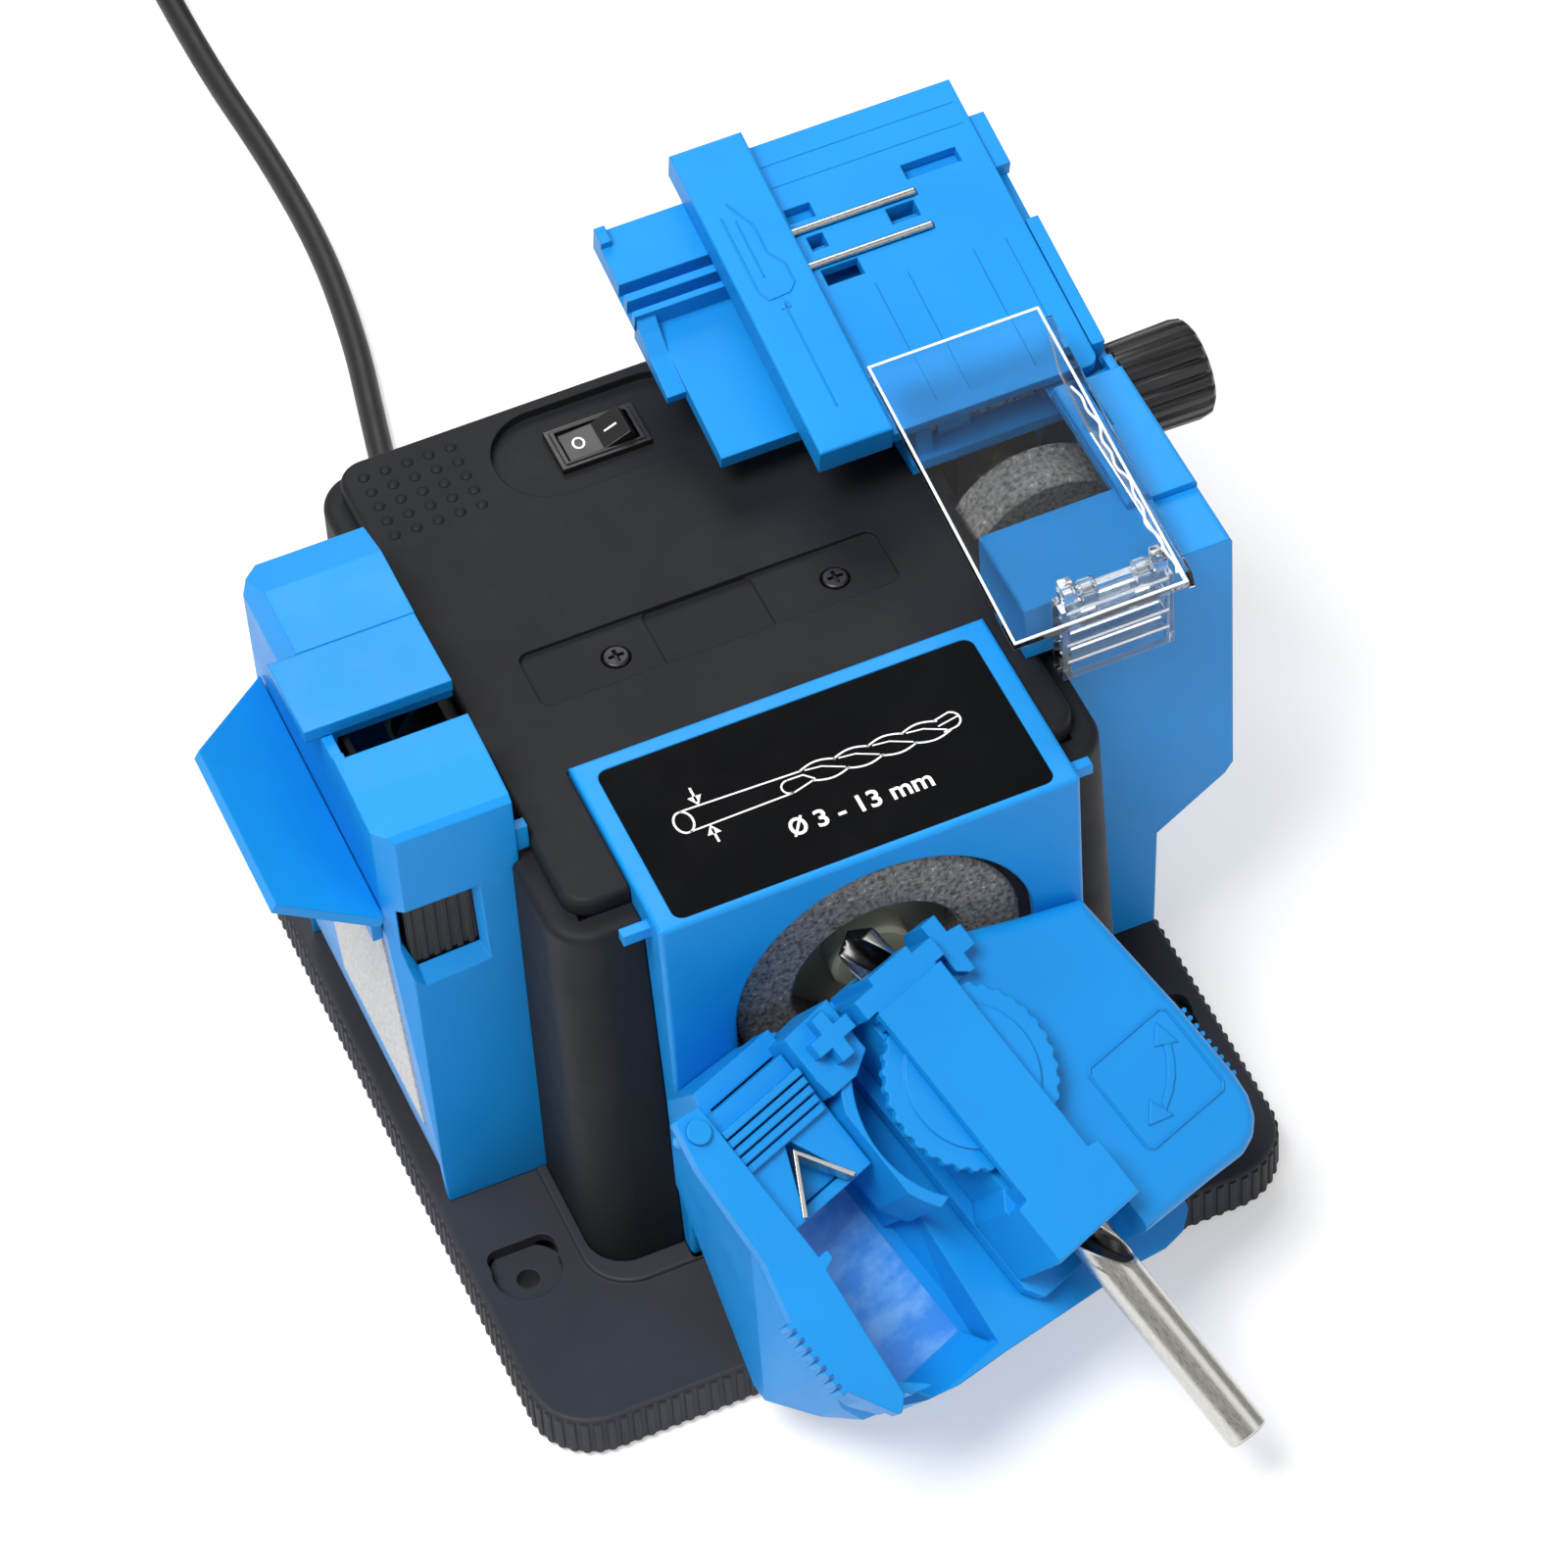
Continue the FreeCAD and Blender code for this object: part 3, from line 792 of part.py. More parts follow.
bracket = bracket.cut(block(67, 89.8, -40, -30.6, 124.4, 142))
for z in (127, 132.5, 138):
    bracket = bracket.fuse(block(66, 90.8, -33.4, -28.4, z, z + 1.8))
for x0 in (70.5, 83.5):
    bracket = bracket.fuse(block(x0, x0 + 3.5, hinge_y - 2.2, hinge_y + 2.2, 143, hinge_z))
    bracket = bracket.fuse(rod(2.2, Vector(x0, hinge_y, hinge_z), Vector(x0 + 3.5, hinge_y, hinge_z)))
bracket = bracket.cut(rod(1.25, Vector(60, hinge_y, hinge_z), Vector(96, hinge_y, hinge_z)))
feature("shield_bracket", max(bracket.Solids, key=lambda s: s.Volume))

# ---------------------------------------------------------------- mains lead

cord_r = D["cord_radius"]
turned("strain_relief", [(0, 88), (4.9, 88), (4.9, 95.2), (6.6, 95.4), (6.6, 97), (5.4, 98), (4.4, 122), (0, 122)],
       Placement(), ("cord_x", 0, "cord_z"))

# The lead leaves the relief, bends down to the table and runs back to the tied coil.
cord_points = [Vector(-35, 122, 30), Vector(-33.5, 146, 26.5), Vector(-27, 168, 12), Vector(-18.5, 190, 4),
               Vector(-13.5, 214, 3.8), Vector(-8, 240, 3.8), Vector(-4, 274, 3.8), Vector(-4.5, 312, 3.8),
               Vector(-7.5, 350, 3.8), Vector(-7.5, 412, 3.8)]


def tube(points, radius):
    """Straight runs joined by tangent arcs as large as the runs allow."""
    edges = []
    here = points[0]
    for i in range(1, len(points) - 1):
        before, corner, after = points[i - 1], points[i], points[i + 1]
        into = (before - corner).normalize()
        out = (after - corner).normalize()
        turn = math.pi - into.getAngle(out)
        set_back = 0.45 * min((before - corner).Length, (after - corner).Length)
        bend = set_back / math.tan(turn / 2)
        start, end = corner + into * set_back, corner + out * set_back
        centre_way = (into + out).normalize()
        middle = corner + centre_way * (bend / math.cos(turn / 2) - bend)
        edges.append(Part.LineSegment(here, start).toShape())
        edges.append(Part.Arc(start, middle, end).toShape())
        here = end
    edges.append(Part.LineSegment(here, points[-1]).toShape())
    path = Part.Wire(edges)
    heading = points[1] - points[0]
    section = Part.Wire([Part.makeCircle(radius, points[0], heading)])
    return path.makePipeShell([section], True, False)


feature("power_cord", tube(cord_points, cord_r))
coil_centre = Vector(33, 420, 0)
coil_profile = [(27, 0.5), (46.5, 0.5), (46.5, 20.3), (27, 20.3)]
coil = Part.Face(Part.makePolygon([Vector(r, 0, z) for r, z in coil_profile + coil_profile[:1]]))
coil = coil.revolve(Vector(), UP, 360)
coil = coil.makeFillet(6, [e for e in coil.Edges if len(e.Vertexes) == 1])
coil.translate(coil_centre)
feature("cord_coil", coil)

plug = slab(-11, 11, -14, 14, 0, 24, 6)
plug = plug.makeFillet(2, [e for e in plug.Edges if e.BoundBox.ZMin > 23.9])
for x in (-7, 7):
    plug = plug.fuse(Part.makeCylinder(2.4, 19, Vector(x, 0, 24)))
feature("mains_plug", plug, Placement(Vector(90, 422, 14.2), Rotation(UP, 8).multiply(Rotation(Vector(1, 0, 0), 90))))

# ---------------------------------------------------------------- check and write

doc.recompute()
for obj in doc.Objects:
    if any(state in ("Invalid", "Error") for state in obj.State):
        raise RuntimeError(f"{obj.Label}: {obj.State}")
for obj in NODES:
    shape = obj.Shape
    if shape.isNull() or not shape.isValid() or not shape.Solids:
        raise RuntimeError(f"{obj.Label}: no valid solid")
    shape.exportStep(f"parts/{obj.Label}.step")
print(len(NODES), "sub-parts written")
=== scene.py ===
import json
import math

import bmesh
import bpy
from mathutils import Matrix, Vector


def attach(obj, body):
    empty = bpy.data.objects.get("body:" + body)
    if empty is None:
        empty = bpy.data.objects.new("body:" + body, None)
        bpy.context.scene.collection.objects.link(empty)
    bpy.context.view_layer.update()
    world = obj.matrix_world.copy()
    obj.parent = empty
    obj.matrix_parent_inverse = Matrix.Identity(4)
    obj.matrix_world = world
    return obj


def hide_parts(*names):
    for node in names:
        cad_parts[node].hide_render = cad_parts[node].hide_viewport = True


# Looks for the drill bit sharpener: +Z up, the user stands at -Y, metres, same frame as the CAD.

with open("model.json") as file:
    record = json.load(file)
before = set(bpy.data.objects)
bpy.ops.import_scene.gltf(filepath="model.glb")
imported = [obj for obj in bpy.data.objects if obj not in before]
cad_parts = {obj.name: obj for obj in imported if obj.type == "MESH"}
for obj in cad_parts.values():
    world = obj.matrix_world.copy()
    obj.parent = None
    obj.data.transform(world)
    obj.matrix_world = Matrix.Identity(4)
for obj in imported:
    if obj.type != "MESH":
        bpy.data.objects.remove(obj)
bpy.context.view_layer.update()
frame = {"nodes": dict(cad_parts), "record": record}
nodes = frame["nodes"]
MM = 0.001

# ---------------------------------------------------------------- camera

AZIMUTH, ELEVATION, ROLL = (math.radians(a) for a in (-19.87, 50.22, -4.62))
FOCAL_LENGTH = 160.0
CAMERA_PLACE = Vector((-0.3293, -0.9402, 1.2803))


def camera_axes():
    """The camera's right, up and back directions."""
    back = Vector((math.sin(AZIMUTH) * math.cos(ELEVATION), -math.cos(AZIMUTH) * math.cos(ELEVATION),
                   math.sin(ELEVATION)))
    level = Vector((math.cos(AZIMUTH), math.sin(AZIMUTH), 0))
    lift = back.cross(level)
    right = math.cos(ROLL) * level + math.sin(ROLL) * lift
    return right, back.cross(right), back


def add_camera():
    """The photograph's viewpoint: a long lens, above and to the left of the user."""
    data = bpy.data.cameras.new("camera")
    data.lens = FOCAL_LENGTH
    data.sensor_width = 36
    data.clip_end = 20
    camera = bpy.data.objects.new("camera", data)
    bpy.context.collection.objects.link(camera)
    right, up, back = camera_axes()
    turn = Matrix((right, up, back)).transposed().to_4x4()
    camera.matrix_world = Matrix.Translation(CAMERA_PLACE) @ turn
    bpy.context.scene.camera = camera


add_camera()

# ---------------------------------------------------------------- places

# The drill station's oblique frame: local x across, local -y down the slope, local z out of it.
STATION = (Matrix.Translation(Vector((-1.3, -61, 105.6)) * MM)
           @ Matrix.Rotation(math.radians(23), 4, "Z") @ Matrix.Rotation(math.radians(35), 4, "X"))
# The chisel rest's frame: local y runs up the rest, local z out of its face.
REST = Matrix.Translation(Vector((0, 30, 145)) * MM) @ Matrix.Rotation(math.radians(12), 4, "X")
WORLD = Matrix.Identity(4)

# ---------------------------------------------------------------- materials


def material(name):
    """An empty node material with its shader."""
    made = bpy.data.materials.new(name)
    made.use_nodes = True
    tree = made.node_tree
    return made, tree, tree.nodes["Principled BSDF"]


def noise(tree, scale, detail=3.0, roughness=0.55, stretch=None):
    """A noise texture in object coordinates; stretch scales it per axis."""
    coords = tree.nodes.new("ShaderNodeTexCoord")
    out = coords.outputs["Object"]
    if stretch:
        mapping = tree.nodes.new("ShaderNodeMapping")
        mapping.inputs["Scale"].default_value = stretch
        tree.links.new(out, mapping.inputs["Vector"])
        out = mapping.outputs["Vector"]
    texture = tree.nodes.new("ShaderNodeTexNoise")
    texture.inputs["Scale"].default_value = scale
    texture.inputs["Detail"].default_value = detail
    texture.inputs["Roughness"].default_value = roughness
    tree.links.new(out, texture.inputs["Vector"])
    return texture.outputs["Fac"]


def ramp(tree, factor, stops):
    """A colour ramp through (position, colour) stops."""
    node = tree.nodes.new("ShaderNodeValToRGB")
    while len(node.color_ramp.elements) < len(stops):
        node.color_ramp.elements.new(0.5)
    for element, (position, colour) in zip(node.color_ramp.elements, stops):
        element.position = position
        element.color = (*colour, 1) if len(colour) == 3 else (colour[0],) * 3 + (1,)
    tree.links.new(factor, node.inputs["Fac"])
    return node.outputs["Color"]


def spread(tree, factor, low, high):
    """A factor mapped to a range of values."""
    node = tree.nodes.new("ShaderNodeMapRange")
    node.inputs["From Min"].default_value = 0.3
    node.inputs["From Max"].default_value = 0.7
    node.inputs["To Min"].default_value = low
    node.inputs["To Max"].default_value = high
    tree.links.new(factor, node.inputs["Value"])
    return node.outputs["Result"]


def relief(tree, shader, height, strength, distance, soft_edge=0.0):
    """Bump from a height, over edges softened by a small radius."""
    bump = tree.nodes.new("ShaderNodeBump")
    bump.inputs["Strength"].default_value = strength
    bump.inputs["Distance"].default_value = distance
    tree.links.new(height, bump.inputs["Height"])
    if soft_edge:
        bevel = tree.nodes.new("ShaderNodeBevel")
        bevel.samples = 6
        bevel.inputs["Radius"].default_value = soft_edge
        tree.links.new(bevel.outputs["Normal"], bump.inputs["Normal"])
    tree.links.new(bump.outputs["Normal"], shader.inputs["Normal"])


def plastic(name, colour, roughness, grain=1200, depth=0.00002, change=0.06, soft_edge=0.0005, specular=0.5):
    """Moulded plastic: slight colour and gloss changes, a fine grain and softened edges."""
    made, tree, shader = material(name)
    dark = [c * (1 - change) for c in colour]
    light = [min(1.0, c * (1 + change)) for c in colour]
    tree.links.new(ramp(tree, noise(tree, 22), [(0.35, dark), (0.65, light)]), shader.inputs["Base Color"])
    tree.links.new(spread(tree, noise(tree, 90), roughness - 0.05, roughness + 0.06), shader.inputs["Roughness"])
    shader.inputs["Specular IOR Level"].default_value = specular
    relief(tree, shader, noise(tree, grain, 2), 0.35, depth, soft_edge)
    return made


def metal(name, colour, roughness, stretch=(1, 1, 1)):
    """Ground or turned metal with fine marks along its grain."""
    made, tree, shader = material(name)
    dark = [c * 0.8 for c in colour]
    marks = noise(tree, 900, 4, 0.6, stretch)
    tree.links.new(ramp(tree, marks, [(0.3, dark), (0.7, colour)]), shader.inputs["Base Color"])
    shader.inputs["Metallic"].default_value = 1.0
    tree.links.new(spread(tree, marks, roughness - 0.06, roughness + 0.1), shader.inputs["Roughness"])
    relief(tree, shader, marks, 0.2, 0.00002, 0.0003)
    return made


def grit(name, dark, light, painted_glint, scale, depth):
    """Bonded abrasive: dark matrix, grey grains and bright spots painted as glints."""
    made, tree, shader = material(name)
    grains = noise(tree, scale, 5, 0.75)
    # The last, near-white stop is painted glints on the grains.
    colour = ramp(tree, grains, [(0.36, dark), (0.56, light), (0.64, light), (0.67, painted_glint)])
    tree.links.new(colour, shader.inputs["Base Color"])
    shader.inputs["Roughness"].default_value = 0.75
    shader.inputs["Specular IOR Level"].default_value = 0.3
    relief(tree, shader, grains, 0.7, depth, 0.0006)
    return made


def clear(name, tint, roughness):
    """Clear moulded acrylic with faint flow marks."""
    made, tree, shader = material(name)
    shader.inputs["Base Color"].default_value = (*tint, 1)
    shader.inputs["Transmission Weight"].default_value = 1.0
    shader.inputs["IOR"].default_value = 1.45
    tree.links.new(spread(tree, noise(tree, 60), roughness, roughness + 0.05), shader.inputs["Roughness"])
    relief(tree, shader, noise(tree, 45, 2), 0.15, 0.0002, 0.0004)
    return made


def cloudy(name, base, dust):
    """Blue plastic under a wiped film of pale grinding dust."""
    made, tree, shader = material(name)
    wipes = noise(tree, 95, 4, 0.6, (1.0, 1.6, 1.0))
    tree.links.new(ramp(tree, wipes, [(0.40, base), (0.62, dust)]), shader.inputs["Base Color"])
    tree.links.new(spread(tree, wipes, 0.4, 0.7), shader.inputs["Roughness"])
    relief(tree, shader, noise(tree, 1500, 2), 0.3, 0.00002)
    return made


BLUE = (0.005, 0.240, 0.64)
MATERIALS = {
    "blue_plastic": plastic("blue_plastic", BLUE, 0.42, grain=1500, change=0.05, soft_edge=0.0006, specular=0.28),
    "black_plastic": plastic("black_plastic", (0.0085, 0.0092, 0.0118), 0.62, grain=1600, depth=0.00006, change=0.15,
                             soft_edge=0.0006, specular=0.22),
    "base_plastic": plastic("base_plastic", (0.022, 0.024, 0.031), 0.62, grain=1400, depth=0.00006, change=0.12,
                            soft_edge=0.0005, specular=0.35),
    "dark_plastic": plastic("dark_plastic", (0.006, 0.006, 0.007), 0.35, grain=1800, change=0.1, soft_edge=0.0004),
    "label_film": plastic("label_film", (0.0008, 0.0011, 0.0017), 0.5, grain=2600, depth=0.00001, change=0.1,
                          soft_edge=0.0, specular=0.05),
    "clear_plastic": clear("clear_plastic", (0.96, 0.985, 1.0), 0.02),
    # Each grit's last colour is painted glints on its grains.
    "abrasive": grit("abrasive", (0.06, 0.058, 0.056), (0.30, 0.29, 0.275), (1.0, 0.98, 0.95), 850, 0.0004),
    "stone": grit("stone", (0.42, 0.43, 0.45), (0.62, 0.63, 0.64), (0.9, 0.9, 0.9), 900, 0.0002),
    "hub_plastic": plastic("hub_plastic", (0.42, 0.43, 0.32), 0.5, soft_edge=0.0004),
    "steel": metal("steel", (0.62, 0.60, 0.57), 0.28, (1, 6, 1)),
    "screw_steel": metal("screw_steel", (0.05, 0.05, 0.055), 0.42),
    "motor_steel": plastic("motor_steel", (0.13, 0.14, 0.15), 0.45),
    "alloy": metal("alloy", (0.7, 0.7, 0.71), 0.35, (1, 8, 1)),
    "bronze": metal("bronze", (0.42, 0.28, 0.12), 0.5),
    "belt_rubber": plastic("belt_rubber", (0.008, 0.008, 0.008), 0.75, soft_edge=0.0002),
    "foot_rubber": plastic("foot_rubber", (0.012, 0.012, 0.012), 0.8, soft_edge=0.0004),
    "cord_rubber": plastic("cord_rubber", (0.008, 0.008, 0.0095), 0.5, grain=2200, soft_edge=0.0),
}
WHITE_INK = plastic("white_ink", (0.86, 0.87, 0.88), 0.5, grain=2400, change=0.02, soft_edge=0.0)
DUST = cloudy("tray_dust", (0.03, 0.23, 0.66), (0.13, 0.36, 0.72))
# Near-white material for strips painted as highlights on the shield's edges and its bracket.
PAINTED_HIGHLIGHT_EDGE = plastic("painted_highlight_edge", (0.80, 0.84, 0.88), 0.3, grain=900, change=0.05, soft_edge=0.0)

for entry in frame["record"]["subparts"]:
    mesh = nodes[entry["node"]].data
    mesh.materials.clear()
    mesh.materials.append(MATERIALS[entry["material_slot"]])

# ---------------------------------------------------------------- mesh helpers


def finish_piece(obj, body, look, place=WORLD):
    """Put a piece in its place, give it its look and hang it on its body."""
    obj.matrix_world = place
    obj.data.materials.append(look)
    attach(obj, body)
    return obj


def mesh_object(name, verts, faces, smooth=True):
    """A mesh from vertices in millimetres."""
    mesh = bpy.data.meshes.new(name)
    mesh.from_pydata([Vector(v) * MM for v in verts], [], faces)
    mesh.validate()
    bm = bmesh.new()
    bm.from_mesh(mesh)
    bmesh.ops.recalc_face_normals(bm, faces=bm.faces)
    bm.to_mesh(mesh)
    bm.free()
    obj = bpy.data.objects.new(name, mesh)
    bpy.context.collection.objects.link(obj)
    if smooth:
        mesh.shade_smooth()
        obj.modifiers.new("edges", "EDGE_SPLIT").split_angle = math.radians(35)
    return obj


def add_prism(verts, faces, outline, z0, z1):
    """An upright prism over an outline, added to growing lists."""
    start, count = len(verts), len(outline)
    verts += [(x, y, z) for z in (z0, z1) for x, y in outline]
    faces.append(tuple(range(start, start + count)))
    faces.append(tuple(range(start + count, start + 2 * count)))
    for i in range(count):
        j = (i + 1) % count
        faces.append((start + i, start + j, start + count + j, start + count + i))


def stroke(points, width, closed=False):
    """A line of even width as mitred quadrilaterals that share their ends."""
    spots = [Vector(p) for p in points]
    count = len(spots)
    left, right = [], []
    for i, spot in enumerate(spots):
        before = spots[i - 1] if closed or i else None
        after = spots[(i + 1) % count] if closed or i + 1 < count else None
        into = (spot - before).normalized() if before is not None else (after - spot).normalized()
        away = (after - spot).normalized() if after is not None else into
        along = (into + away).normalized()
        side = Vector((-along.y, along.x)) * width / 2 / max(0.5, along.dot(into))
        left.append(tuple(spot + side))
        right.append(tuple(spot - side))
    last = count if closed else count - 1
    return [[left[i], right[i], right[(i + 1) % count], left[(i + 1) % count]] for i in range(last)]


def line_art(name, outlines, z0, z1, body, look, place=WORLD):
    """Flat raised shapes between two levels."""
    verts, faces = [], []
    for outline in outlines:
        add_prism(verts, faces, outline, z0, z1)
    return finish_piece(mesh_object(name, verts, faces, False), body, look, place)


def ring_rows(rows, around):
    """A closed skin through rings of equal count."""
    verts = [p for row in rows for p in row]
    faces = []
    for i in range(len(rows) - 1):
        for j in range(around):
            k = (j + 1) % around
            faces.append((i * around + j, i * around + k, (i + 1) * around + k, (i + 1) * around + j))
    faces.append(tuple(range(around)))
    faces.append(tuple((len(rows) - 1) * around + j for j in range(around)))
    return verts, faces


# ---------------------------------------------------------------- mains lead

CORD_ROUTE = [(-35, 122, 30), (-33.5, 146, 26.5), (-27, 168, 12), (-18.5, 190, 4), (-13.5, 214, 3.8), (-8, 240, 3.8),
              (-4, 274, 3.8), (-4.5, 312, 3.8), (-7.5, 350, 3.8), (-7.5, 412, 3.8)]
CORD_RADIUS = 3.3
COIL_CENTRE = (33, 420)


def coil_points():
    """Turns side by side and on each other, from the outside bottom to the lead's plug."""
    lanes = [(40.5, 0), (33.6, 0), (30.6, 1), (37.2, 1), (41.5, 2), (34.5, 2)]
    points = []
    steps = 16
    for turn, (radius, layer) in enumerate(lanes):
        after = lanes[turn + 1] if turn + 1 < len(lanes) else (43.0, 2)
        for step in range(steps):
            share = step / steps
            ease = share * share * (3 - 2 * share)
            r = radius + (after[0] - radius) * ease
            z = 3.8 + 6.3 * (layer + (after[1] - layer) * ease)
            angle = math.pi - 2 * math.pi * share
            points.append((COIL_CENTRE[0] + r * math.cos(angle), COIL_CENTRE[1] + r * math.sin(angle), z))
    return points


def add_cord():
    """One spline: off the relief, along the table, round the coil and into the plug."""
    tail = [(-9.5, 424, 16.4), (-4, 444, 16), (14, 461, 15), (36, 466, 13), (58, 461, 12.8), (78, 454, 13.4),
            (87.5, 445, 14), (88.6, 435, 14.2)]
    points = CORD_ROUTE + coil_points()[1:] + tail
    data = bpy.data.curves.new("lead", "CURVE")
    data.dimensions = "3D"
    spline = data.splines.new("NURBS")
    spline.points.add(len(points) - 1)
    for target, point in zip(spline.points, points):
        target.co = (*(Vector(point) * MM), 1)
    spline.order_u = 3
    spline.use_endpoint_u = True
    spline.resolution_u = 8
    data.bevel_depth = CORD_RADIUS * MM
    data.bevel_resolution = 4
    data.use_fill_caps = True
    lead = bpy.data.objects.new("lead", data)
    bpy.context.collection.objects.link(lead)
    return lead


lead = add_cord()
finish_piece(lead, "machine", MATERIALS["cord_rubber"])
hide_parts("power_cord", "cord_coil")


def coil_tie():
    """A flat band closed round all the turns at the coil's left side."""
    verts, faces = [], []
    steps = 32
    for y in (416.5, 423.5):
        for reach in (0.0, 0.8):
            for step in range(steps):
                angle = 2 * math.pi * step / steps
                across, up = math.cos(angle), math.sin(angle)
                verts.append((-3.2 + (9.9 + reach) * math.copysign(abs(across) ** 0.5, across), y,
                              11.1 + (9.9 + reach) * math.copysign(abs(up) ** 0.5, up)))
    rows = [0, 1, 3, 2]
    for k, row in enumerate(rows):
        after = rows[(k + 1) % 4]
        for step in range(steps):
            turn = (step + 1) % steps
            faces.append((row * steps + step, row * steps + turn, after * steps + turn, after * steps + step))
    return mesh_object("coil_tie", verts, faces)


finish_piece(coil_tie(), "machine", MATERIALS["cord_rubber"])

# ---------------------------------------------------------------- base rim

HALF_W, HALF_D, CORNER = 91.0, 98.0, 15.0


def rim_path(pitch):
    """Places and outward directions along the base's rounded outline."""
    spots = []
    straight_x, straight_y = 2 * (HALF_W - CORNER), 2 * (HALF_D - CORNER)
    arc = CORNER * math.pi / 2
    legs = [(straight_x, None), (arc, (1, -1)), (straight_y, None), (arc, (1, 1)),
            (straight_x, None), (arc, (-1, 1)), (straight_y, None), (arc, (-1, -1))]
    heading = 0.0
    x, y = -HALF_W + CORNER, -HALF_D
    for length, corner in legs:
        count = max(1, round(length / pitch))
        for i in range(count):
            run = (i + 0.5) * length / count
            if corner is None:
                px, py, angle = x + run * math.cos(heading), y + run * math.sin(heading), heading
            else:
                angle = heading + run / CORNER
                cx, cy = corner[0] * (HALF_W - CORNER), corner[1] * (HALF_D - CORNER)
                px, py = cx + CORNER * math.sin(angle), cy - CORNER * math.cos(angle)
            spots.append((px, py, angle))
        if corner is None:
            x, y = x + length * math.cos(heading), y + length * math.sin(heading)
        else:
            heading += math.pi / 2
            cx, cy = corner[0] * (HALF_W - CORNER), corner[1] * (HALF_D - CORNER)
            x, y = cx + CORNER * math.sin(heading), cy - CORNER * math.cos(heading)
    return spots


def add_rim_ribs():
    """Upright half-round ribs all round the base's edge."""
    verts, faces = [], []
    for px, py, angle in rim_path(3.1):
        along = Vector((math.cos(angle), math.sin(angle)))
        out = Vector((math.sin(angle), -math.cos(angle)))
        outline = [Vector((px, py)) + along * a + out * b
                   for a, b in ((-1.05, -0.3), (-0.8, 0.35), (0, 0.6), (0.8, 0.35), (1.05, -0.3))]
        add_prism(verts, faces, [tuple(p) for p in outline], 1.7, 11.9)
    return finish_piece(mesh_object("rim_ribs", verts, faces), "machine", MATERIALS["base_plastic"])


add_rim_ribs()

# ---------------------------------------------------------------- top plate


def add_domes():
    """A square of small moulded domes at the plate's back left."""
    verts, faces = [], []
    around, rings = 12, 4
    for column in range(5):
        for row in range(5):
            cx, cy = -52.5 + 5.25 * column, 66.8 + 4.8 * row
            start = len(verts)
            for i in range(rings):
                tilt = math.pi / 2 * i / rings
                r, z = 1.45 * math.cos(tilt), 126.8 + 0.75 * math.sin(tilt)
                turns = [2 * math.pi * j / around for j in range(around)]
                verts += [(cx + r * math.cos(turn), cy + r * math.sin(turn), z) for turn in turns]
            verts.append((cx, cy, 127.55))
            for i in range(rings - 1):
                for j in range(around):
                    k = (j + 1) % around
                    a, b = start + i * around, start + (i + 1) * around
                    faces.append((a + j, a + k, b + k, b + j))
            for j in range(around):
                top = start + (rings - 1) * around
                faces.append((top + j, top + (j + 1) % around, start + rings * around))
            faces.append(tuple(start + j for j in reversed(range(around))))
    return finish_piece(mesh_object("plate_domes", verts, faces), "machine", MATERIALS["black_plastic"])


add_domes()


def arc_points(cx, cy, radius, start, end, count, squeeze=1.0):
    """Points along an arc, in degrees."""
    return [(cx + radius * math.cos(math.radians(start + (end - start) * i / count)),
             cy + squeeze * radius * math.sin(math.radians(start + (end - start) * i / count)))
            for i in range(count + 1)]


# ---------------------------------------------------------------- label art

LABEL_TOP = 128.92


def wave(x0, x1, y, height, count):
    """Half a wave from x0 to x1."""
    return [(x0 + (x1 - x0) * i / count, y + height * math.sin(math.pi * i / count)) for i in range(count + 1)]


def add_label_art():
    """Generic line drawing of a twist drill with two size arrows and its range of diameters."""
    bars = stroke([(-27.0, -36.0), (1.2, -36.9)], 0.42) + stroke([(-26.9, -42.1), (-2.6, -41.8)], 0.42)
    bars += stroke(arc_points(-27.1, -39.1, 2.1, 0, 360, 20, 1.45)[:-1], 0.5, True)
    bars += stroke(arc_points(-2.6, -39.9, 1.9, 90, 270, 8), 0.42)
    for i in range(4):
        x = 0.8 + 8.0 * i
        bars += stroke(wave(x, x + 8.6, -36.9, 1.15, 8), 0.45)
        bars += stroke(wave(x + 1.6, x + 10.4, -40.4, -1.15, 8), 0.45)
        bars += stroke([(x + 1.2, -37.1), (x + 5.0, -37.6), (x + 9.6, -40.0)], 0.35)
    bars += stroke([(-2.4, -38.0), (1.2, -38.1), (3.2, -40.2)], 0.4)
    bars += stroke([(-2.4, -41.8), (3.0, -40.3)], 0.4)
    bars += stroke(arc_points(36.0, -37.9, 2.3, -80, 80, 10), 0.45)
    bars += stroke([(32.6, -36.6), (36.4, -35.7)], 0.4) + stroke([(33.0, -38.4), (38.0, -37.5)], 0.35)
    bars += stroke([(33.5, -40.4), (36.4, -40.2)], 0.4)
    for tip, tail in ((-36.0, -30.8), (-42.2, -47.3)):
        toward = 1 if tip > tail else -1
        bars += stroke([(-22.3, tail), (-22.3, tip - toward)], 0.55)
        bars.append([(-22.3, tip), (-23.9, tip - 2.6 * toward), (-20.7, tip - 2.6 * toward)])
    bars += stroke(arc_points(-5.4, -50.7, 1.6, 0, 360, 20, 1.3)[:-1], 0.8, True)
    slash = stroke([(-7.0, -53.2), (-3.8, -48.2)], 0.6)
    line_art("label_slash", slash, LABEL_TOP - 0.05, LABEL_TOP + 0.05, "machine", WHITE_INK)
    line_art("label_drawing", bars, LABEL_TOP - 0.05, LABEL_TOP + 0.03, "machine", WHITE_INK)
    data = bpy.data.curves.new("label_range", "FONT")
    data.body = "3 - 13 mm"
    data.size = 6.6 * MM
    data.offset = 0.00012
    data.extrude = 0.00003
    text = bpy.data.objects.new("label_range", data)
    bpy.context.collection.objects.link(text)
    place = Matrix.Translation(Vector((-1.6, -53.0, LABEL_TOP)) * MM)
    finish_piece(text, "machine", WHITE_INK, place)


add_label_art()

# ---------------------------------------------------------------- rocker marks


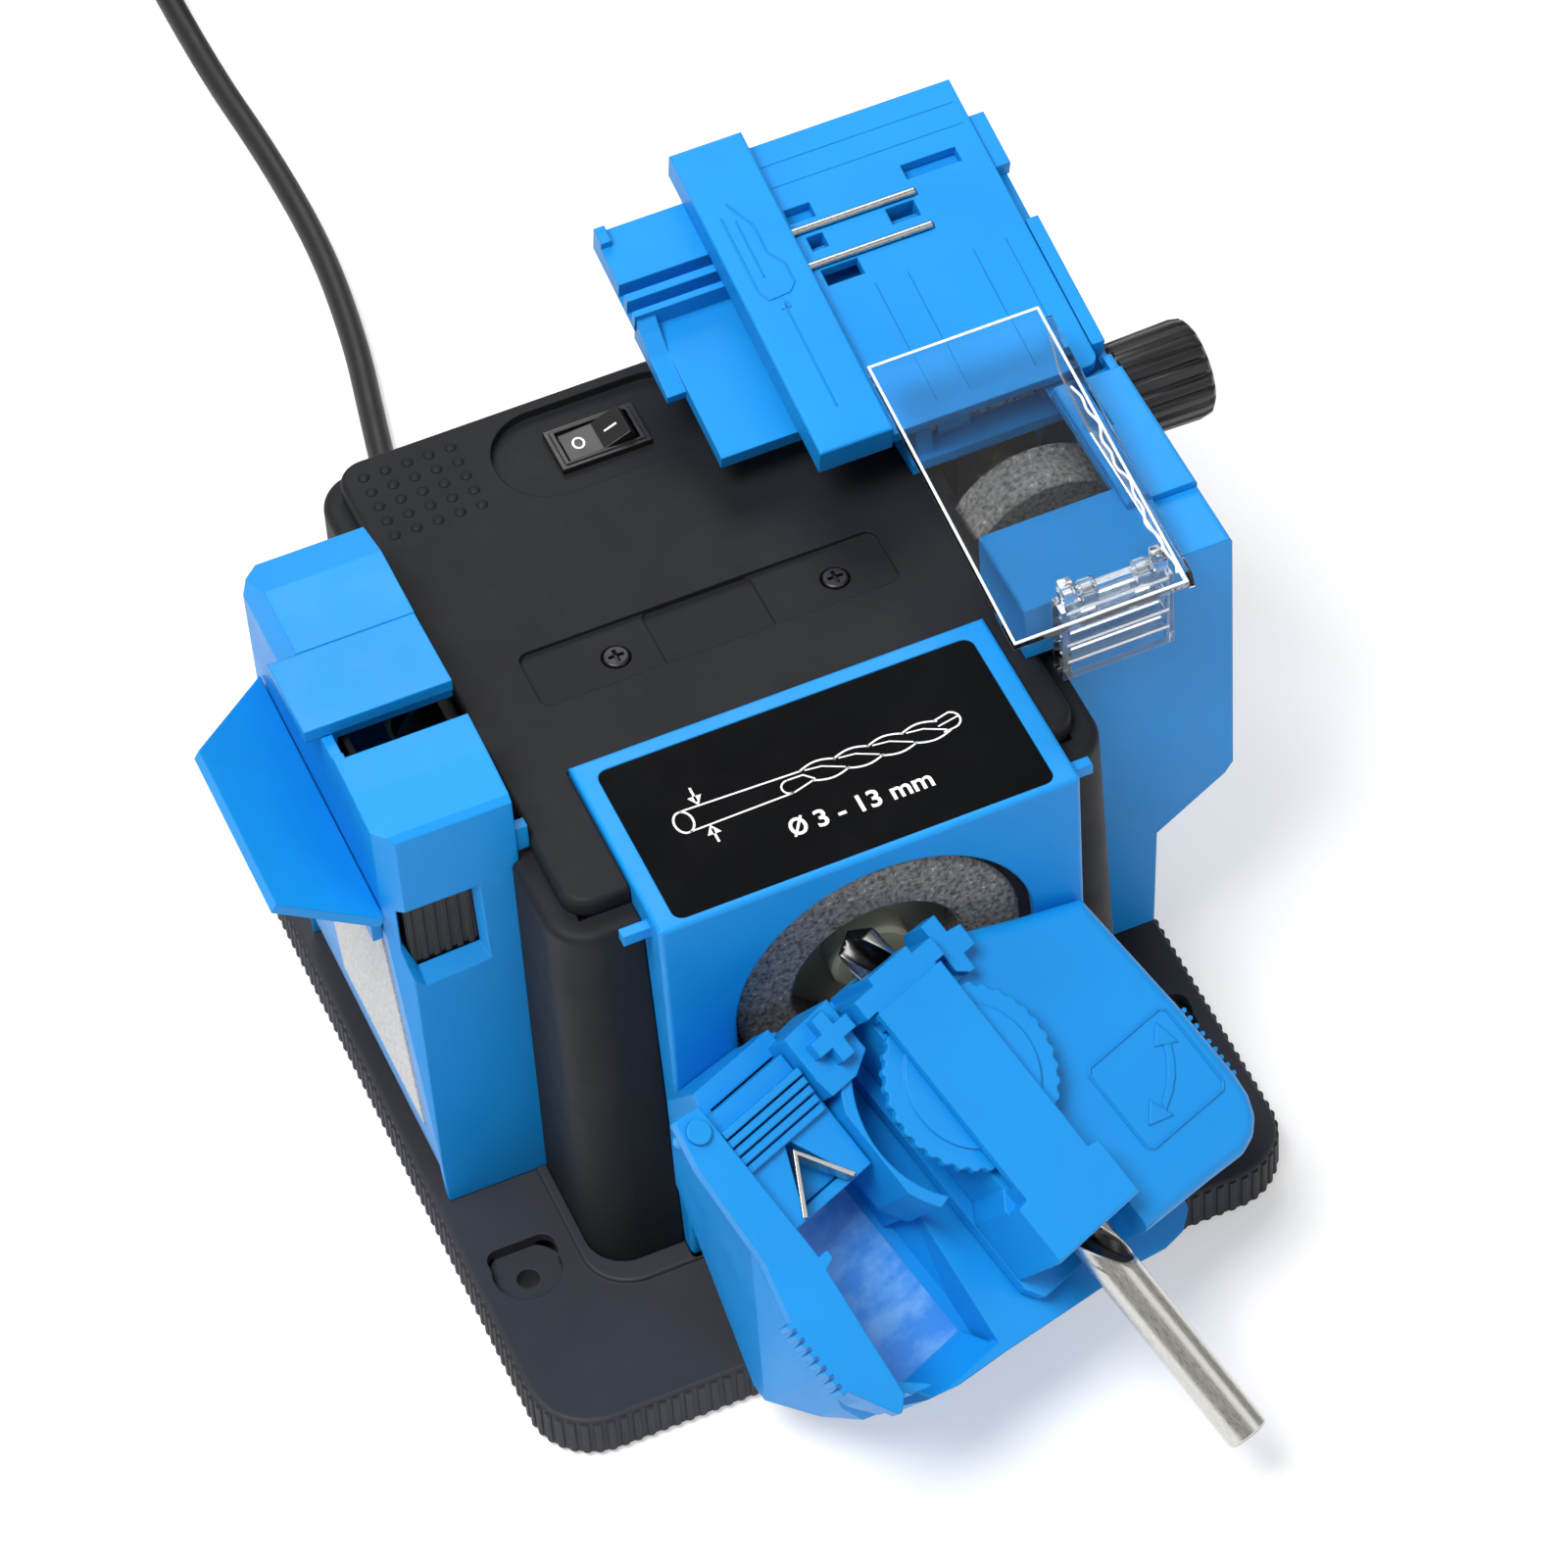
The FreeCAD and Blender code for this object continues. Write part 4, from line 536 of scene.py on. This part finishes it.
def add_rocker_marks():
    """The usual ring and bar on the two halves of the rocker."""
    ring = stroke(arc_points(-4.6, 75.3, 1.25, 0, 360, 18, 1.25)[:-1], 0.5, True)
    line_art("rocker_ring", ring, 0.0, 0.12, "rocker", WHITE_INK,
             Matrix.Translation(Vector((-0.15, 0, 126.25)) * MM) @ Matrix.Rotation(math.radians(-2.8), 4, "Y"))
    bar = stroke([(1.9, 75.3), (5.2, 75.3)], 0.5)
    line_art("rocker_bar", bar, 0.0, 0.12, "rocker", WHITE_INK,
             Matrix.Translation(Vector((-0.15, 0, 126.25)) * MM) @ Matrix.Rotation(math.radians(-23), 4, "Y"))


add_rocker_marks()

# ---------------------------------------------------------------- drill bit

BIT_START, BIT_END, BIT_RADIUS = 2.6, 142.6, 5.0
FLUTE_PITCH = 52.0
POINT_ANGLE = math.radians(118)


def bit_radius(angle, flute):
    """Radius of the drill's section: two broad lands and two hollows; flute 0 is the plain shank."""
    swing = abs(math.sin(angle))
    hollow = max(0.0, (0.66 - swing) / 0.66) ** 0.5
    relief_cut = 0.22 * flute if 0.70 < swing < 0.985 and math.sin(angle) * math.cos(angle) > 0 else 0.0
    return BIT_RADIUS - 3.2 * hollow * flute - relief_cut


def add_drill_bit():
    """Twist drill: right-hand flutes that run out into the shank, and a conical point."""
    around = 96
    rows = []
    places = [BIT_START + 0.001, 2.9, 3.3, 3.9, 4.6, 5.3, 5.7] + [6.2 + i for i in range(95)]
    places += [BIT_END - 0.5, BIT_END]
    for place in places:
        flute = min(1.0, max(0.0, (97.0 - place) / 10.0)) ** 0.6 if place < 97 else 0.0
        twist = -2 * math.pi * min(place, 101.2) / FLUTE_PITCH
        cone = (place - BIT_START) * math.tan(POINT_ANGLE / 2) + 0.05
        row = []
        for j in range(around):
            angle = 2 * math.pi * j / around
            r = min(bit_radius(angle, flute), cone)
            if place == BIT_END:
                r -= 0.45
            row.append((r * math.cos(angle + twist), -place, r * math.sin(angle + twist)))
        rows.append(row)
    verts, faces = ring_rows(rows, around)
    return mesh_object("twist_drill", verts, faces)


def bit_steel_and_flute_shade():
    """Ground lands and shank in bright steel over flutes painted near black as shade in their hollows, told apart by
    their distance from the axis.
    """
    made, tree, shader = material("bit_steel_and_flute_shade")
    coords = tree.nodes.new("ShaderNodeTexCoord")
    flat = tree.nodes.new("ShaderNodeVectorMath")
    flat.operation = "MULTIPLY"
    flat.inputs[1].default_value = (1, 0, 1)
    tree.links.new(coords.outputs["Object"], flat.inputs[0])
    reach = tree.nodes.new("ShaderNodeVectorMath")
    reach.operation = "LENGTH"
    tree.links.new(flat.outputs["Vector"], reach.inputs[0])
    ground = tree.nodes.new("ShaderNodeMapRange")
    ground.inputs["From Min"].default_value = 0.00455
    ground.inputs["From Max"].default_value = 0.0048
    tree.links.new(reach.outputs["Value"], ground.inputs["Value"])
    marks = noise(tree, 500, 4, 0.6, (8, 1, 8))
    bright = ramp(tree, marks, [(0.3, (0.50, 0.48, 0.45)), (0.7, (0.70, 0.68, 0.64))])
    # Painted shade: the flutes' hollows get a near-black colour.
    dark = ramp(tree, marks, [(0.3, (0.035, 0.035, 0.038)), (0.7, (0.075, 0.073, 0.07))])
    mix = tree.nodes.new("ShaderNodeMix")
    mix.data_type = "RGBA"
    tree.links.new(ground.outputs["Result"], mix.inputs["Factor"])
    tree.links.new(dark, mix.inputs["A"])
    tree.links.new(bright, mix.inputs["B"])
    tree.links.new(mix.outputs["Result"], shader.inputs["Base Color"])
    shader.inputs["Metallic"].default_value = 1.0
    tree.links.new(spread(tree, marks, 0.24, 0.36), shader.inputs["Roughness"])
    relief(tree, shader, marks, 0.2, 0.00002)
    return made


BIT_STEEL_AND_FLUTE_SHADE = bit_steel_and_flute_shade()
drill = finish_piece(add_drill_bit(), "holder", BIT_STEEL_AND_FLUTE_SHADE, STATION)
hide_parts("drill_bit")

# ---------------------------------------------------------------- cradle grip and icon


def add_cradle_marks():
    """The cover's square icon with its curved two-headed arrow."""
    square = [(21.7, -60.6), (23.0, -59.3), (45.0, -59.7), (46.4, -61.0), (46.5, -81.0), (45.2, -82.4), (23.2, -81.9),
              (21.8, -80.6)]
    outlines = stroke(square, 0.5, True)
    inner = [(40.6, -66.4), (39.0, -69.2), (37.0, -71.6), (34.6, -73.7), (31.6, -75.4)]
    outer = [(30.9, -77.5), (35.1, -75.4), (38.3, -72.9), (40.5, -70.2), (42.2, -67.2)]
    outlines.append(inner + outer)
    outlines.append([(42.6, -61.4), (43.9, -67.9), (38.6, -65.4)])
    outlines.append([(25.6, -77.4), (29.6, -73.3), (31.9, -79.3)])
    line_art("swing_icon", outlines, 3.9, 4.35, "cradle", MATERIALS["blue_plastic"], STATION)


add_cradle_marks()


def add_cover_grip():
    """Short rounded ribs along the cover's outer edge."""
    verts, faces = [], []
    for i in range(9):
        along = 63.5 + 2.2 * i
        outline = [(49.0, -along), (51.5, -along), (51.9, -along - 0.55), (51.5, -along - 1.1), (49.0, -along - 1.1)]
        add_prism(verts, faces, outline, -4.5, 1.6)
    finish_piece(mesh_object("cover_grip", verts, faces), "cradle", MATERIALS["blue_plastic"],
                 STATION)


add_cover_grip()

# ---------------------------------------------------------------- angle knob


KNOB_FACE, KNOB_Y, KNOB_Z = 110.4, 37, 124.5


def add_knob():
    """Black knob with deep grip flutes, and the plain shaft behind it."""
    around = 144
    profile = [(0.0, 10.6), (0.8, 11.5), (17.2, 11.9), (19.6, 11.4), (20.5, 10.2)]
    rows = []
    for x, radius in profile:
        row = []
        for j in range(around):
            angle = 2 * math.pi * j / around
            dip = 0.9 * max(0.0, math.cos(20 * angle)) ** 2 if 0.5 < x < 20.0 else 0.0
            r = radius - dip
            row.append((KNOB_FACE + x, KNOB_Y + r * math.cos(angle), KNOB_Z + r * math.sin(angle)))
        rows.append(row)
    verts, faces = ring_rows(rows, around)
    inner = [[(x, KNOB_Y + 2.9 * math.cos(a), KNOB_Z + 2.9 * math.sin(a))
              for a in (2 * math.pi * j / around for j in range(around))]
             for x in (97.0, 110.6)]
    more, more_faces = ring_rows(inner, around)
    faces += [tuple(i + len(verts) for i in f) for f in more_faces]
    return mesh_object("fluted_knob", verts + more, faces)


knob = finish_piece(add_knob(), "knob", MATERIALS["dark_plastic"])
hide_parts("angle_knob")

# ---------------------------------------------------------------- chisel rest marks


def add_chisel_marks():
    """Raised outline of a chisel on the bar and faint ruled lines on the plate."""
    outline = [(42.0, 67.0), (45.4, 60.0), (45.4, 52.0), (48.0, 48.0), (48.0, 42.5), (46.0, 40.4), (41.0, 40.0),
               (39.4, 43.0), (39.4, 64.0)]
    bars = stroke(outline, 0.45)
    bars += stroke([(42.2, 62.0), (42.2, 46.0)], 0.35)
    bars += stroke([(43.6, 38.0), (43.6, 9.0)], 0.4)
    bars.append([(43.6, 40.0), (42.4, 36.6), (44.8, 36.6)])
    line_art("bar_drawing", bars, 4.9, 5.25, "bar", MATERIALS["blue_plastic"], REST)
    rules = []
    for x in (66, 74, 90, 98):
        rules += stroke([(x, 4), (x, 38)], 0.25)
    rules += stroke([(54.5, 70), (102, 70)], 0.25) + stroke([(54.5, 76), (102, 76)], 0.25)
    line_art("plate_rules", rules, -0.05, 0.08, "carriage", MATERIALS["blue_plastic"], REST)


add_chisel_marks()

# ---------------------------------------------------------------- shield edges, painted highlights

SHIELD = Matrix.Translation(Vector((0, -41, 149.5)) * MM) @ Matrix.Rotation(math.radians(10), 4, "X")


def add_shield_edges():
    """Near-white strips painted as highlights on the pane's rims, in a wavy line along its crinkled right side and on
    the bracket's ribs.
    """
    rim = [(50.8, 0.4), (91.6, 0.4), (91.6, 77.6), (50.8, 77.6)]
    line_art("shield_rim_highlight", stroke(rim, 0.6, True), -0.1, 0.12, "shield", PAINTED_HIGHLIGHT_EDGE, SHIELD)
    wavy = [(90.4 + 0.9 * math.sin(0.9 * i) * math.cos(0.37 * i), 3 + 1.6 * i) for i in range(34)]
    line_art("shield_wave_highlight", stroke(wavy, 0.55), -0.1, 0.3, "shield", PAINTED_HIGHLIGHT_EDGE, SHIELD)
    # Strips painted as highlights on the hinge bracket's ribs.
    ribs = []
    for z in (127.9, 133.4, 138.9, 143.2):
        ribs += stroke([(66.2, z), (90.6, z)], 0.7)
    turn = Matrix.Translation(Vector((0, -33.35, 0)) * MM) @ Matrix.Rotation(math.radians(90), 4, "X")
    line_art("bracket_rib_highlights", ribs, -0.1, 0.15, "machine", PAINTED_HIGHLIGHT_EDGE, turn)


add_shield_edges()

# ---------------------------------------------------------------- dust on the tray floor

TRAY_FLOOR = -24.0
film = [(-56.5, -46.0), (-28.0, -46.0), (-27.8, -86.8), (-50.0, -86.8), (-53.5, -83.0), (-57.0, -77.0)]
line_art("tray_film", [film], TRAY_FLOOR + 0.02, TRAY_FLOOR + 0.1, "machine", DUST, STATION)

# ---------------------------------------------------------------- floor and light

bpy.ops.mesh.primitive_plane_add(size=6)
floor = bpy.context.object
floor.name = "floor"
paper, paper_tree, paper_shader = material("paper")
paper_tree.links.new(ramp(paper_tree, noise(paper_tree, 3), [(0.3, (0.60, 0.60, 0.605)), (0.7, (0.62, 0.62, 0.62))]),
                     paper_shader.inputs["Base Color"])
paper_shader.inputs["Roughness"].default_value = 0.9
paper_shader.inputs["Emission Color"].default_value = (1, 1, 1, 1)
paper_shader.inputs["Emission Strength"].default_value = 0.42
paper_shader.inputs["Specular IOR Level"].default_value = 0.1
floor.data.materials.append(paper)


def area_light(name, place, target, size, power):
    """A soft square light aimed at a point."""
    data = bpy.data.lights.new(name, "AREA")
    data.size = size
    data.energy = power
    lamp = bpy.data.objects.new(name, data)
    bpy.context.collection.objects.link(lamp)
    lamp.location = place
    lamp.rotation_euler = (Vector(place) - Vector(target)).to_track_quat("Z", "Y").to_euler()


area_light("key", (-0.75, -0.35, 1.9), (0, 0, 0.08), 0.9, 47)
area_light("fill", (1.1, -1.3, 1.1), (0, 0, 0.08), 1.2, 5)
area_light("back", (0.3, 1.4, 1.7), (0, 0, 0.08), 1.0, 14)

world = bpy.data.worlds.new("studio")
bpy.context.scene.world = world
world.use_nodes = True
world.node_tree.nodes["Background"].inputs["Color"].default_value = (1, 1, 1, 1)
world.node_tree.nodes["Background"].inputs["Strength"].default_value = 0.33
bpy.context.scene.view_settings.view_transform = "Standard"
